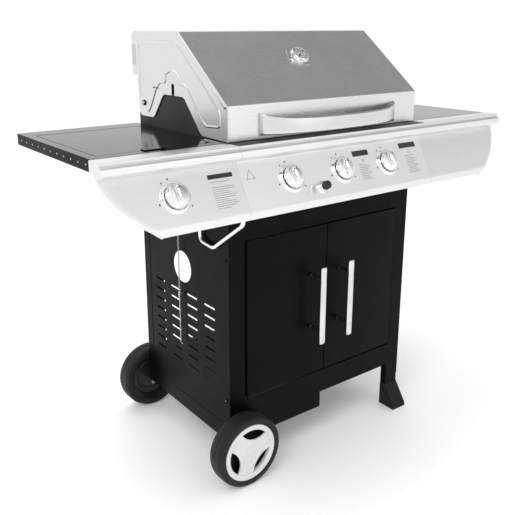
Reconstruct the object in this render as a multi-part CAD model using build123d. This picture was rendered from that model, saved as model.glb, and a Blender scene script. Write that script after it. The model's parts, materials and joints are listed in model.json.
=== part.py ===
from build123d import *
import math
import os

# Gas barbecue on a wheeled cabinet cart: three main burners and a side burner.
# Millimetres, +Z up, +X to the right seen from the front, +Y to the back.
# The drawing's Y = 0 is the cabinet's front face. The export moves everything by ORIGIN_Y,
# so that the origin is the middle of the whole outline, on the ground.
ORIGIN_Y = 181.98

# Sheet metal and general fits
SHEET = 1.5
RUNNING_GAP = 0.05
MOVING_GAP = 0.3

# Cabinet
CART_HALF = 300.0
CART_DEPTH = 401.0
PANEL_BOTTOM = 91.0
PANEL_TOP = 830.0
POST_INNER = 254.5
POST_DEPTH = 20.0
POST_TOP = 698.5
LEG_BOTTOM = 66.6
SKIRT_BOTTOM = 88.0
SKIRT_TOP = 131.0
SKIRT_RIGHT = -5.0
RAIL_TOP = 194.0
HEAD_RAIL_BOTTOM = 602.0
SHELF_PLATE_TOP = 133.0
EMBOSS_DEPTH = 0.7
WINDOW_Y = 205.0
WINDOW_Z = 491.0
WINDOW_RADIUS = 41.0
SLOT_COLUMNS = 4
SLOT_ROWS = 8
SLOT_FIRST_Y = 83.3
SLOT_FIRST_Z = 423.2
SLOT_PITCH_Y = 78.7
SLOT_PITCH_Z = 28.0
SLOT_LENGTH = 45.0
SLOT_HEIGHT = 5.0
SCREW_INSET = 14.0
SCREW_HEIGHTS = (201.0, 560.0)
SCREW_RADIUS = 2.0

# Doors
DOOR_OUTER = 250.0
DOOR_INNER = 1.5
DOOR_BOTTOM = 202.5
DOOR_TOP = 600.0
DOOR_FRONT = -4.5
DOOR_BACK = 11.0
PIN_X = 246.5
PIN_Y = 1.8
PIN_RADIUS = 1.75
PIN_REACH = 9.0
HANDLE_X = 47.0
HANDLE_FRONT = -50.0
HANDLE_BOTTOM = 301.0
HANDLE_TOP = 506.0
HANDLE_WIDTH = 17.0
HANDLE_THICK = 6.0
STANDOFF_HEIGHTS = (335.0, 475.0)

# Wheels
WHEEL_RADIUS = 90.0
WHEEL_WIDTH = 49.0
WHEEL_X = -282.0
FRONT_WHEEL_FACE = -61.6
REAR_WHEEL_FACE = 458.0
CAP_RADIUS = 72.0
AXLE_RADIUS = 5.0
HUB_RADIUS = 14.0
HUB_BACK = 44.0
NUT_RADIUS = 8.0
TYRE_ROUND = 6.0
CAP_TOP = 0.5
CAP_OPENING_TURN = 76.0
CAP_OPENING_EDGE = 58.8
CAP_OPENING_CENTRE = 84.0
CAP_OPENING_RADIUS = 51.0

# Firebox and hood
FIREBOX_HALF = CART_HALF - SHEET
FIREBOX_FRONT = 3.0
FIREBOX_BACK = 397.0
FIREBOX_FLOOR = 700.0
FIREBOX_RIM = 834.0
BURNER_X = (-158.0, -2.0, 154.0)
BURNER_Z = 740.0
BURNER_RADIUS = 12.0
TENT_LEDGE = 768.0
GRATE_LEDGE = 822.0
HOOD_HALF = 301.5
HOOD_FRONT = -3.3
HOOD_RIM = 834.0
HOOD_CREASE = 911.5
HOOD_TOP = 1064.3
HOOD_TOP_FRONT = 192.4
HOOD_BACK = 420.0
PIVOT_Y = 365.0
PIVOT_Z = 888.0
PIVOT_RADIUS = 4.0
GAUGE_UP = 151.0
GAUGE_FLANGE = 35.0
GAUGE_CUP = 23.5
GAUGE_BORE = 21.0
GAUGE_POST = 0.8
BACK_FIELD = (979.0, 1034.0)
BACK_FIELD_DEPTH = 7.0
BOW_HALF = 223.0
BOW_ENDS = -24.0
BOW_MIDDLE = -60.0
BOW_LOW = 845.0
BOW_HIGH = 880.0
BOW_THICK = 2.5

# Shelves and front panel
SHELF_TOP = 832.0
SHELF_BOTTOM = 806.0
SHELF_END = 616.0
SHELF_FRONT = 3.0
SHELF_BACK = 412.0
FASCIA_END = 620.0
SEAM_X = 297.0
SEAM_GAP = 0.3
CREASE_Y = -80.3
CREASE_Z = 692.6
LIP_Z = 676.7
FASCIA_TILT = 28.34
FASCIA_LENGTH = 114.4

# Controls
KNOB_X = (-464.0, -160.0, -1.0, 153.0)
KNOB_UP = 61.0
KNOB_RADIUS = 26.0
KNOB_BASE = 4.5
KNOB_FRONT = 28.0
STEM_RADIUS = 4.0
BEZEL_RADIUS = 35.0
MANIFOLD_DEPTH = 52.0
MANIFOLD_RADIUS = 8.0
IGNITER_X = -81.0
IGNITER_UP = 27.0
IGNITER_RADIUS = 10.0
IGNITER_FRONT = 26.0

# Side burner, in the left shelf
LID_LEFT = -592.0
LID_RIGHT = -325.0
LID_FRONT = 31.0
LID_BACK = 350.0
LID_PIN_Y = 346.0
LID_PIN_Z = 826.0
RECESS_GAP = 2.0
RECESS_BACK = 354.0
RECESS_FLOOR = 818.5
PAN = (-560.0, -357.0, 50.0, 333.0)
PAN_FLOOR = 789.0
SIDE_BURNER_X = -458.0
SIDE_BURNER_Y = 191.0
SUPPORT_LOW = 807.0
SUPPORT_HIGH = 814.0

# Match holder and grease tray
HOOK_Y = 207.0
HOOK_Z = 640.0
CHAIN_X = -308.0
HOOK_RADIUS = 1.5
FERRULE_TOP = 428.0
ROD_BOTTOM = 279.0
RAIL_BAR_RADIUS = 5.2
TRAY_HALF = 150.0
TRAY_FRONT = 60.0
TRAY_BACK = 340.0
TRAY_BOTTOM = 662.0
TRAY_RIM = 691.0

MID_LOW = (Align.CENTER, Align.CENTER, Align.MIN)
FASCIA = Plane(
    origin=(0, CREASE_Y, CREASE_Z),
    x_dir=(1, 0, 0),
    z_dir=(0, -math.cos(math.radians(FASCIA_TILT)), math.sin(math.radians(FASCIA_TILT))),
)
HOOD_SLOPE = Plane(
    origin=(0, HOOD_FRONT, HOOD_CREASE),
    x_dir=(1, 0, 0),
    z_dir=(0, HOOD_CREASE - HOOD_TOP, HOOD_TOP_FRONT - HOOD_FRONT),
)


def block(x_low, x_high, y_low, y_high, z_low, z_high):
    """A box between two corners."""
    size = Box(x_high - x_low, y_high - y_low, z_high - z_low)
    return Pos((x_low + x_high) / 2, (y_low + y_high) / 2, (z_low + z_high) / 2) * size


def rod(start, end, radius):
    """A round bar between two points."""
    first = Vector(*start)
    run = Vector(*end) - first
    return Plane(origin=first, z_dir=run) * Cylinder(radius, run.length, align=MID_LOW)


def disc(plane, x, up, low, high, radius):
    """A round slab that stands on a plane, from one height above it to another."""
    return plane * Pos(x, up, low) * Cylinder(radius, high - low, align=MID_LOW)


def ring(plane, x, up, low, high, radius, inner):
    """A round slab with a hole through it."""
    return disc(plane, x, up, low, high, radius) - disc(plane, x, up, low - 1, high + 1, inner)


def along_x(outline, x_low, x_high):
    """A closed outline of (y, z) points, drawn out along X."""
    face = make_face(Polyline(*outline, close=True))
    return extrude(Plane.YZ.offset(x_low) * face, amount=x_high - x_low, dir=(1, 0, 0))


def bent_sheet(points, thickness):
    """The closed outline of a bent sheet: its points, and the same points moved to their left."""
    corners = [Vector(*point) for point in points]
    sides = [(b - a).normalized().rotate(Axis.Z, 90) for a, b in zip(corners, corners[1:])]
    moved = []
    for i, corner in enumerate(corners):
        before = sides[max(i - 1, 0)]
        after = sides[min(i, len(sides) - 1)]
        moved.append(corner + (before + after) * (thickness / (1 + before.dot(after))))
    return [(p.X, p.Y) for p in corners + moved[::-1]]


def mirrored(shape):
    """The same shape on the other side of the cart."""
    return mirror(shape, about=Plane.YZ)


def group(*shapes):
    """Several separate solids that make one node."""
    return Compound([solid for shape in shapes for solid in shape.solids()])


# ---------------------------------------------------------------- cabinet

SCREW_SPOTS = [(y, z) for y in (SCREW_INSET, CART_DEPTH - SCREW_INSET) for z in SCREW_HEIGHTS]


def screw_shanks():
    """The shanks of the screws that hold the side panels to the posts."""
    inner = CART_HALF - 8
    left = [rod((-CART_HALF, y, z), (-inner, y, z), SCREW_RADIUS) for y, z in SCREW_SPOTS]
    return left + [mirrored(shank) for shank in left]


def left_side_panel():
    """Pressed side panel with a raised border, a round window and rows of vent slots."""
    panel = block(-CART_HALF, -CART_HALF + SHEET, 0, CART_DEPTH, PANEL_BOTTOM, PANEL_TOP)
    field = block(-CART_HALF, -CART_HALF + EMBOSS_DEPTH, 26, 372, 132.6, 800)
    hem = block(-CART_HALF + SHEET, -288, POST_DEPTH, CART_DEPTH - POST_DEPTH, PANEL_BOTTOM,
                PANEL_BOTTOM + SHEET)
    setback = block(-CART_HALF - 1, -CART_HALF + 3, -1, 5, FIREBOX_FLOOR, PANEL_TOP + 1)
    panel = panel - field - setback + hem
    panel -= rod((-CART_HALF - 1, WINDOW_Y, WINDOW_Z), (-CART_HALF + 3, WINDOW_Y, WINDOW_Z), WINDOW_RADIUS)
    slots = []
    for column in range(SLOT_COLUMNS):
        for row in range(SLOT_ROWS):
            slot = Box(6, SLOT_LENGTH, SLOT_HEIGHT)
            y = SLOT_FIRST_Y + SLOT_PITCH_Y * column
            slots.append(Pos(-CART_HALF, y, SLOT_FIRST_Z - SLOT_PITCH_Z * row) * slot)
    return panel - slots - screw_shanks()


def post(x_low, x_high, front, z_low):
    """A pressed channel post, open towards the middle of the cabinet."""
    if front:
        outer = block(x_low, x_high, 0, POST_DEPTH, z_low, POST_TOP)
        hollow = block(x_low + SHEET, x_high - SHEET, SHEET, POST_DEPTH + 1, z_low - 1, POST_TOP + 1)
    else:
        back = CART_DEPTH
        outer = block(x_low, x_high, back - POST_DEPTH, back, z_low, POST_TOP)
        hollow = block(x_low + SHEET, x_high - SHEET, back - POST_DEPTH - 1, back - SHEET,
                       z_low - 1, POST_TOP + 1)
    return outer - hollow - screw_shanks()


def posts(front):
    """The left post ends at the wheel skirt, and the right one runs on down as a leg."""
    edge = CART_HALF - SHEET
    left = post(-edge, -POST_INNER, front, SKIRT_TOP)
    right = post(POST_INNER, edge, front, LEG_BOTTOM)
    return group(left, right)


def rail(x_low, x_high, z_low, z_high, front=True):
    """A pressed channel between the posts, with flanges at its top and bottom."""
    if front:
        outer = block(x_low, x_high, 0, POST_DEPTH, z_low, z_high)
        hollow = block(x_low - 1, x_high + 1, SHEET, POST_DEPTH + 1, z_low + SHEET, z_high - SHEET)
    else:
        back = CART_DEPTH
        outer = block(x_low, x_high, back - POST_DEPTH, back, z_low, z_high)
        hollow = block(x_low - 1, x_high + 1, back - POST_DEPTH - 1, back - SHEET,
                       z_low + SHEET, z_high - SHEET)
    return outer - hollow


def axle_brackets():
    """Two plates that carry the axle, one behind the skirt and one in the rear post."""
    x_low, x_high, low = -CART_HALF + 2 * SHEET, -264, 76
    front = block(x_low, x_high, SHEET, SHEET + 3, low, SKIRT_TOP - SHEET)
    rear = block(x_low, x_high, CART_DEPTH - SHEET - 3, CART_DEPTH - SHEET, low, 180)
    axle_line = rod((WHEEL_X, -20, WHEEL_RADIUS), (WHEEL_X, CART_DEPTH + 20, WHEEL_RADIUS), AXLE_RADIUS)
    return group(front - axle_line, rear - axle_line)


def front_rails():
    """Head rail with its embossed panel, door sill rail, and the skirt behind the front wheel."""
    head = rail(-POST_INNER, POST_INNER, HEAD_RAIL_BOTTOM, POST_TOP)
    head -= block(-223, 228, -1, EMBOSS_DEPTH, 613.5, 690)
    sill = rail(-POST_INNER, POST_INNER, SKIRT_TOP, RAIL_TOP)
    skirt = rail(-CART_HALF + SHEET, SKIRT_RIGHT, SKIRT_BOTTOM, SKIRT_TOP)
    skirt += block(SKIRT_RIGHT - SHEET, SKIRT_RIGHT, SHEET, POST_DEPTH, SKIRT_BOTTOM, SKIRT_TOP)
    skirt -= rod((WHEEL_X, -1, WHEEL_RADIUS), (WHEEL_X, POST_DEPTH, WHEEL_RADIUS), 9)
    return group(head, sill, skirt - axle_brackets())


def rear_rails():
    """The two rails of the open back."""
    low = rail(-POST_INNER, POST_INNER, SKIRT_TOP, 180, front=False)
    high = rail(-POST_INNER, POST_INNER, 616, 652, front=False)
    return group(low, high)


def bottom_shelf():
    """The cabinet's floor, a plate with its edges turned down, and a raised ring for a gas bottle."""
    edge, front, back = CART_HALF - SHEET, POST_DEPTH, CART_DEPTH - POST_DEPTH
    outer = block(-edge, edge, front, back, SHELF_PLATE_TOP - 14, SHELF_PLATE_TOP)
    hollow = block(-edge + SHEET, edge - SHEET, front + SHEET, back - SHEET, 100, SHELF_PLATE_TOP - SHEET)
    bottle_ring = ring(Plane((0, 200, SHELF_PLATE_TOP)), 0, 0, 0, 4, 120, 116)
    return outer - hollow + bottle_ring


def leg_feet():
    """Plastic feet that stand out in front of and behind the right legs."""
    outline = [(-38.5, 0), (18.5, 0), (18.5, LEG_BOTTOM), (0, LEG_BOTTOM), (-38.5, 9)]
    foot = along_x(outline, 251.7, CART_HALF)
    spigot = block(POST_INNER + 2.5, CART_HALF - 4, 3, 17, LEG_BOTTOM, 92)
    front = foot + spigot
    rear = mirror(front, about=Plane.XZ.offset(-CART_DEPTH / 2))
    return group(front, rear)


def axle():
    """Fixed axle with its collars and end nuts."""
    nut_gap, nut = 3.2, 4.5
    hub_back = HUB_BACK + MOVING_GAP
    first, last = FRONT_WHEEL_FACE + nut_gap, REAR_WHEEL_FACE - nut_gap
    x, z = WHEEL_X, WHEEL_RADIUS
    shaft = rod((x, first, z), (x, last, z), AXLE_RADIUS)
    shaft += rod((x, first, z), (x, first + nut, z), NUT_RADIUS)
    shaft += rod((x, last - nut, z), (x, last, z), NUT_RADIUS)
    shaft += rod((x, FRONT_WHEEL_FACE + hub_back, z), (x, SHEET, z), NUT_RADIUS)
    return shaft + rod((x, CART_DEPTH, z), (x, REAR_WHEEL_FACE - hub_back, z), NUT_RADIUS)


# ---------------------------------------------------------------- wheels

def wheel(face):
    """Tyre, rim and hub cap; the plane's normal points out of the wheel's outer face."""
    tyre = ring(face, 0, 0, -WHEEL_WIDTH, 0, WHEEL_RADIUS, CAP_RADIUS)
    tyre = fillet(tyre.edges().filter_by(GeomType.CIRCLE).group_by(SortBy.RADIUS)[-1], TYRE_ROUND)
    rim = ring(face, 0, 0, 3 - WHEEL_WIDTH, -3, CAP_RADIUS, CAP_RADIUS - 5)
    rim += ring(face, 0, 0, -30, -25, CAP_RADIUS - 4, 12)
    rim += disc(face, 0, 0, -HUB_BACK, -8, HUB_RADIUS)
    rim -= disc(face, 0, 0, -60, 5, AXLE_RADIUS + RUNNING_GAP)
    cap = disc(face, 0, 0, -CAP_TOP - 2, -CAP_TOP, CAP_RADIUS)
    opening = disc(Plane.XY, 0, 0, -5, 5, CAP_OPENING_EDGE)
    opening &= disc(Plane.XY, CAP_OPENING_CENTRE, 0, -5, 5, CAP_OPENING_RADIUS)
    for turn in (0, 120, 240):
        cap -= face * Rot(0, 0, CAP_OPENING_TURN + turn) * opening
    return tyre, rim, cap


# ---------------------------------------------------------------- doors

def left_door():
    """Pressed door tray with solid corners for the hinge pins."""
    tray = block(-DOOR_OUTER, -DOOR_INNER, DOOR_FRONT, DOOR_BACK, DOOR_BOTTOM, DOOR_TOP)
    corner = tray.edges().filter_by(Axis.Z).sort_by(lambda edge: edge.center().X + edge.center().Y)[0]
    tray = fillet(corner, 3)
    tray -= block(-DOOR_OUTER + SHEET, -DOOR_INNER - SHEET, DOOR_FRONT + SHEET, DOOR_BACK + 1,
                  DOOR_BOTTOM + SHEET, DOOR_TOP - SHEET)
    for low, high in ((DOOR_BOTTOM, DOOR_BOTTOM + 13), (DOOR_TOP - 13, DOOR_TOP)):
        tray += block(-DOOR_OUTER + 1, -241, DOOR_FRONT + 1, 8, low, high)
        tray -= rod((-PIN_X, PIN_Y, low - 1), (-PIN_X, PIN_Y, high + 1), PIN_RADIUS + RUNNING_GAP)
    for z in STANDOFF_HEIGHTS:
        tray -= rod((-HANDLE_X, DOOR_FRONT - 1, z), (-HANDLE_X, 0, z), 2)
    return tray


def left_door_handle():
    """Flat bar pull on two standoffs, with the studs that go through the door."""
    half = HANDLE_WIDTH / 2
    bar = block(-HANDLE_X - half, -HANDLE_X + half, HANDLE_FRONT, HANDLE_FRONT + HANDLE_THICK,
                HANDLE_BOTTOM, HANDLE_TOP)
    bar = fillet(bar.edges().filter_by(Axis.Z), 2)
    for z in STANDOFF_HEIGHTS:
        bar += rod((-HANDLE_X, HANDLE_FRONT + 2, z), (-HANDLE_X, DOOR_FRONT, z), 5)
        bar += rod((-HANDLE_X, DOOR_FRONT - 1, z), (-HANDLE_X, DOOR_FRONT + 6, z), 2)
    return bar


def door_catches():
    """Magnetic catches under the head rail, one for each door."""
    left = block(-24, -6, DOOR_BACK + 0.5, 24, 584, HEAD_RAIL_BOTTOM)
    return group(left, mirrored(left))


def hinge_pins():
    """Pins of the doors, the hood and the side burner's lid."""
    door = []
    for z, edge, way in ((RAIL_TOP, DOOR_BOTTOM, 1), (HEAD_RAIL_BOTTOM, DOOR_TOP, -1)):
        pin = rod((-PIN_X, PIN_Y, z), (-PIN_X, PIN_Y, edge + PIN_REACH * way), PIN_RADIUS)
        collar_end = edge - 1.2 * way
        door.append(pin + rod((-PIN_X, PIN_Y, z), (-PIN_X, PIN_Y, collar_end), 1.3 * PIN_RADIUS))
    hood = rod((-FIREBOX_HALF, PIVOT_Y, PIVOT_Z), (-HOOD_HALF - 3, PIVOT_Y, PIVOT_Z), PIVOT_RADIUS)
    hood += rod((-HOOD_HALF - 0.4, PIVOT_Y, PIVOT_Z), (-HOOD_HALF - 3, PIVOT_Y, PIVOT_Z), 7)
    lid = [
        rod((x, LID_PIN_Y, LID_PIN_Z), (x + way * 11, LID_PIN_Y, LID_PIN_Z), 1.5)
        for x, way in ((LID_LEFT - RECESS_GAP, 1), (LID_RIGHT + RECESS_GAP, -1))
    ]
    return group(*door, *[mirrored(pin) for pin in door], hood, mirrored(hood), *lid)


# ---------------------------------------------------------------- firebox and burners

def firebox():
    """Sheet box with raised side walls, ledges for the tents and grates, and a drain in its floor."""
    outline = [
        (FIREBOX_FRONT, FIREBOX_FLOOR), (FIREBOX_BACK, FIREBOX_FLOOR), (FIREBOX_BACK, 902),
        (312, 902), (280, 926), (165, 926), (95, FIREBOX_RIM), (FIREBOX_FRONT, FIREBOX_RIM),
    ]
    inner = FIREBOX_HALF - SHEET
    front, back = FIREBOX_FRONT + SHEET, FIREBOX_BACK - SHEET
    shell = along_x(outline, -FIREBOX_HALF, FIREBOX_HALF)
    shell -= block(-inner, inner, front, back, FIREBOX_FLOOR + SHEET, 1000)
    shell -= block(-inner, inner, back - 1, FIREBOX_BACK + 1, 870, 1000)
    for ledge, depth in ((TENT_LEDGE, 10), (GRATE_LEDGE, 11)):
        shell += block(-inner, inner, front, front + depth, ledge - SHEET, ledge)
        shell += block(-inner, inner, back - depth, back, ledge - SHEET, ledge)
    shell -= block(-60, 60, 150, 250, FIREBOX_FLOOR - 1, FIREBOX_FLOOR + 3)
    for x in BURNER_X:
        shell -= rod((x, FIREBOX_FRONT - 1, BURNER_Z), (x, front + 1, BURNER_Z), BURNER_RADIUS - 1.5)
    return shell


def main_burners():
    """Three tube burners with a row of gas ports on each side."""
    burners = []
    front, back = FIREBOX_FRONT + SHEET, FIREBOX_BACK - SHEET
    for x in BURNER_X:
        tube = rod((x, front, BURNER_Z), (x, back, BURNER_Z), BURNER_RADIUS)
        tube -= rod((x, front - 1, BURNER_Z), (x, back - 6, BURNER_Z), BURNER_RADIUS - 1.5)
        burners.append(tube)
    return group(*burners)


def heat_tents():
    """Folded plates over the burners."""
    half, foot, ridge = 58.0, TENT_LEDGE + SHEET, TENT_LEDGE + 31.0
    tents = []
    for x in BURNER_X:
        fold = bent_sheet([(x + half, foot), (x, ridge), (x - half, foot)], SHEET)
        face = Plane.XZ.offset(-6) * make_face(Polyline(*fold, close=True))
        tents.append(extrude(face, amount=388, dir=(0, 1, 0)))
    return group(*tents)


def cooking_grates():
    """Two cast grates side by side, each with two rows of slots."""
    grates = []
    for x_low, x_high in ((-296, -1), (1, 296)):
        plate = block(x_low, x_high, 6, 394, GRATE_LEDGE, GRATE_LEDGE + 9)
        count = 15
        pitch = (x_high - x_low - 14) / count
        slots = []
        for i in range(count):
            x = x_low + 12 + pitch * i
            slots += [block(x, x + pitch - 7, y, y + 170, 800, 850) for y in (22, 208)]
        grates.append(plate - slots)
    return group(*grates)


def warming_rack():
    """Wire rack that hangs between the firebox's raised side walls."""
    z, reach = 903, FIREBOX_HALF - SHEET
    rack = rod((-reach, 190, z), (reach, 190, z), 3)
    for y in (206, 222, 238, 254):
        rack += rod((-290, y, z), (290, y, z), 2.6)
    rack += rod((-reach, 270, z), (reach, 270, z), 3)
    for x in (-287, -96, 96, 287):
        rack += rod((x, 189, z - 3.5), (x, 271, z - 3.5), 2.5)
    return rack


# ---------------------------------------------------------------- gas train and controls

def face_point(x, up, out):
    """A point over the slanted front panel."""
    return FASCIA.from_local_coords(Vector(x, up, out))


def gas_manifold():
    """Gas rail behind the front panel, with the hose nipple at its right end."""
    left = face_point(-492, KNOB_UP, -MANIFOLD_DEPTH)
    right = face_point(190, KNOB_UP, -MANIFOLD_DEPTH)
    nipple = right + Vector(34, 0, 0)
    rail_pipe = rod(tuple(left), tuple(right), MANIFOLD_RADIUS)
    rail_pipe += rod(tuple(right), tuple(nipple), 6.5)
    rail_pipe -= rod(tuple(left + Vector(3, 0, 0)), tuple(right - Vector(3, 0, 0)), MANIFOLD_RADIUS - 2)
    return rail_pipe - rod(tuple(right - Vector(4, 0, 0)), tuple(nipple + Vector(1, 0, 0)), 4)


def gas_valves():
    """Four valves on the gas rail; the three main ones blow into their burner's mouth."""
    valves = []
    for x in KNOB_X:
        valve = disc(FASCIA, x, KNOB_UP, MANIFOLD_RADIUS - MANIFOLD_DEPTH, -8, 12)
        valve += disc(FASCIA, x, KNOB_UP, -9, -SHEET, 8)
        if x != KNOB_X[0]:
            valve += rod((x, -24, BURNER_Z), (x, 14, BURNER_Z), 4)
        valves.append(valve - disc(FASCIA, x, KNOB_UP, -34, 0, STEM_RADIUS + RUNNING_GAP))
    return group(*valves)


def valve_stem(x):
    """Valve stem, round in the valve and with a flat where the knob sits."""
    stem = disc(FASCIA, x, KNOB_UP, -30, 18, STEM_RADIUS)
    return stem - FASCIA * Pos(x + STEM_RADIUS, KNOB_UP, 3) * Box(2, 12, 16, align=MID_LOW)


def knob(x):
    """Knob with a skirt, a sloping shoulder and a grip bar, bored for its stem."""
    turned = disc(FASCIA, x, KNOB_UP, KNOB_BASE, 12, KNOB_RADIUS)
    turned += FASCIA * Pos(x, KNOB_UP, 12) * Cone(KNOB_RADIUS - 2, KNOB_RADIUS - 8, 6, align=MID_LOW)
    grip = Box(12, 2 * KNOB_RADIUS - 8, KNOB_FRONT - 10, align=MID_LOW)
    grip = fillet(grip.edges().filter_by(Axis.Z), 4)
    turned += FASCIA * Pos(x, KNOB_UP, 10) * grip
    bore = disc(FASCIA, x, KNOB_UP, 0, 22, STEM_RADIUS + RUNNING_GAP)
    key = FASCIA * Pos(x + STEM_RADIUS + RUNNING_GAP, KNOB_UP, 7.3) * Box(2, 12, 16, align=MID_LOW)
    return turned - (bore - key)


def knob_bezels():
    """Raised chrome rings round the knobs."""
    bezels = []
    for x in KNOB_X:
        bezel = ring(FASCIA, x, KNOB_UP, 0, 1.2, BEZEL_RADIUS, 6)
        bezels.append(bezel + ring(FASCIA, x, KNOB_UP, 1, 6, BEZEL_RADIUS - 3.5, KNOB_RADIUS + 1.6))
    return group(*bezels)


def igniter_housing():
    """Barrel and collar of the igniter, with the spark unit's closed end."""
    wall = IGNITER_RADIUS + 0.3
    barrel = disc(FASCIA, IGNITER_X, IGNITER_UP, -32, 0, wall + 0.6)
    barrel += disc(FASCIA, IGNITER_X, IGNITER_UP, 0, 3, wall + 2.2)
    return barrel - disc(FASCIA, IGNITER_X, IGNITER_UP, -29, 10, wall)


def igniter_button():
    """Push button of the igniter."""
    button = disc(FASCIA, IGNITER_X, IGNITER_UP, -20, IGNITER_FRONT, IGNITER_RADIUS)
    return fillet(button.faces().sort_by(Axis.Y)[0].edges(), 3)


# ---------------------------------------------------------------- front panel and shelves

def fascia_sheet(x_low, x_high, tail):
    """The bent sheet of the front panel: top, groove, bullnose, cove, slanted face and lip."""
    tilt = math.radians(FASCIA_TILT)
    top_y = CREASE_Y + FASCIA_LENGTH * math.sin(tilt)
    top_z = CREASE_Z + FASCIA_LENGTH * math.cos(tilt)
    path = [
        (SHELF_FRONT, tail), (SHELF_FRONT, SHELF_TOP - 0.3), (-44, SHELF_TOP - 0.3), (-44, 829),
        (-42, 823), (-49, 817), (-49, 810), (-44, 803), (top_y, top_z),
        (CREASE_Y, CREASE_Z), (CREASE_Y, LIP_Z),
    ]
    return along_x(bent_sheet(path, SHEET), x_low, x_high)


def end_outline(inset):
    """The region of the slanted face inside its curved left end, as a slab across the sheet."""
    left, low = -FASCIA_END + inset, -20
    curve = Spline((left, FASCIA_LENGTH + 6), (-592 + inset, 60), (-543 + inset, 8), (-500 + inset, low))
    edge = [
        Line((-500 + inset, low), (-200, low)),
        Line((-200, low), (-200, 200)),
        Line((-200, 200), (left, 200)),
        Line((left, 200), (left, FASCIA_LENGTH + 6)),
    ]
    face = make_face([curve, *edge])
    return extrude(FASCIA.offset(-60) * face, amount=160)


def left_fascia():
    """Left end piece: the sheet cut to its curved end, a return flange, and the bullnose's cap."""
    sheet = fascia_sheet(-FASCIA_END, -SEAM_X - SEAM_GAP, SHELF_BOTTOM) & end_outline(0)
    flange = (end_outline(0) - end_outline(SHEET)) & (
        FASCIA * Pos(-450, 60, -6.5) * Box(400, 106, 10)
    )
    cap = along_x(
        [(SHELF_FRONT - SHEET, SHELF_BOTTOM), (SHELF_FRONT - SHEET, 831), (-43, 831), (-41, 823),
         (-48, 817), (-48, 810), (-43, 803), (-26, 795), (-14, SHELF_BOTTOM)],
        -FASCIA_END, -FASCIA_END + SHEET,
    )
    hole = disc(FASCIA, KNOB_X[0], KNOB_UP, -10, 10, 6)
    return sheet + flange + cap - hole


def centre_fascia():
    """Middle piece, with the holes for three stems and the igniter."""
    sheet = fascia_sheet(-SEAM_X + SEAM_GAP, SEAM_X - SEAM_GAP, 800)
    for x in KNOB_X[1:]:
        sheet -= disc(FASCIA, x, KNOB_UP, -10, 10, 6)
    return sheet - disc(FASCIA, IGNITER_X, IGNITER_UP, -10, 10, IGNITER_RADIUS + 0.9)


def right_fascia():
    """Right end piece, the left one's mirror image with no knob hole."""
    plug = disc(FASCIA, KNOB_X[0], KNOB_UP, -SHEET, 0, 6.5)
    return mirrored(left_fascia() + plug)


def shelf_tray():
    """Left shelf: a sheet tray turned down at its four edges, with a row of holes in its end."""
    outer = block(-SHELF_END, -CART_HALF, SHELF_FRONT, SHELF_BACK, SHELF_BOTTOM, SHELF_TOP)
    hollow = block(-SHELF_END + SHEET, -CART_HALF - SHEET, SHELF_FRONT + SHEET, SHELF_BACK - SHEET,
                   SHELF_BOTTOM - 1, SHELF_TOP - SHEET)
    tray = outer - hollow
    middle = (SHELF_BOTTOM + SHELF_TOP) / 2
    for i in range(11):
        y = SHELF_FRONT + 24 + 36 * i
        tray -= rod((-SHELF_END - 1, y, middle), (-SHELF_END + 3, y, middle), 2)
    return tray


def left_shelf():
    """The shelf with the side burner's recess cut in it."""
    cut = block(LID_LEFT - RECESS_GAP, LID_RIGHT + RECESS_GAP, LID_FRONT - RECESS_GAP, RECESS_BACK,
                SHELF_TOP - 3, SHELF_TOP + 1)
    return shelf_tray() - cut


# ---------------------------------------------------------------- side burner

def side_burner_bowl():
    """Stepped pan: a shallow recess for the lid and a deeper tray round the burner."""
    left, right = LID_LEFT - RECESS_GAP, LID_RIGHT + RECESS_GAP
    front, back, top = LID_FRONT - RECESS_GAP, RECESS_BACK, SHELF_TOP - SHEET
    bowl = block(left - SHEET, right + SHEET, front - SHEET, back + SHEET, RECESS_FLOOR - SHEET, top)
    bowl -= block(left, right, front, back, RECESS_FLOOR, top + 1)
    x_low, x_high, y_low, y_high = PAN
    bowl += block(x_low - SHEET, x_high + SHEET, y_low - SHEET, y_high + SHEET, PAN_FLOOR - SHEET,
                  RECESS_FLOOR)
    bowl -= block(x_low, x_high, y_low, y_high, PAN_FLOOR, RECESS_FLOOR + 1)
    x, y = SIDE_BURNER_X, SIDE_BURNER_Y
    return bowl - rod((x, y, PAN_FLOOR - 5), (x, y, PAN_FLOOR + 5), 5)


def side_burner_head():
    """Burner head with its cap, and the pipe from the left valve."""
    x, y = SIDE_BURNER_X, SIDE_BURNER_Y
    head = rod((x, y, PAN_FLOOR), (x, y, 799), 34) + rod((x, y, 799), (x, y, 803), 38)
    pipe_z = 779
    valve_end = (x, 8, pipe_z)
    pipe = rod((x, y, pipe_z), (x, y, PAN_FLOOR + 1), 5) + rod(valve_end, (x, y, pipe_z), 5)
    pipe += Pos(x, y, pipe_z) * Sphere(5)
    return head + pipe


def pan_support():
    """Four crossed bars over the side burner."""
    x_low, x_high, y_low, y_high = PAN
    spread, thick = 47, 6
    bars = []
    for side in (-1, 1):
        x = SIDE_BURNER_X + side * (spread + thick / 2)
        y = SIDE_BURNER_Y + side * (spread + thick / 2)
        bars.append(block(x_low, x_high, y - thick / 2, y + thick / 2, SUPPORT_LOW, SUPPORT_HIGH))
        bars.append(block(x - thick / 2, x + thick / 2, y_low, y_high, SUPPORT_LOW, SUPPORT_HIGH))
    return bars[0] + bars[1:]


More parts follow.
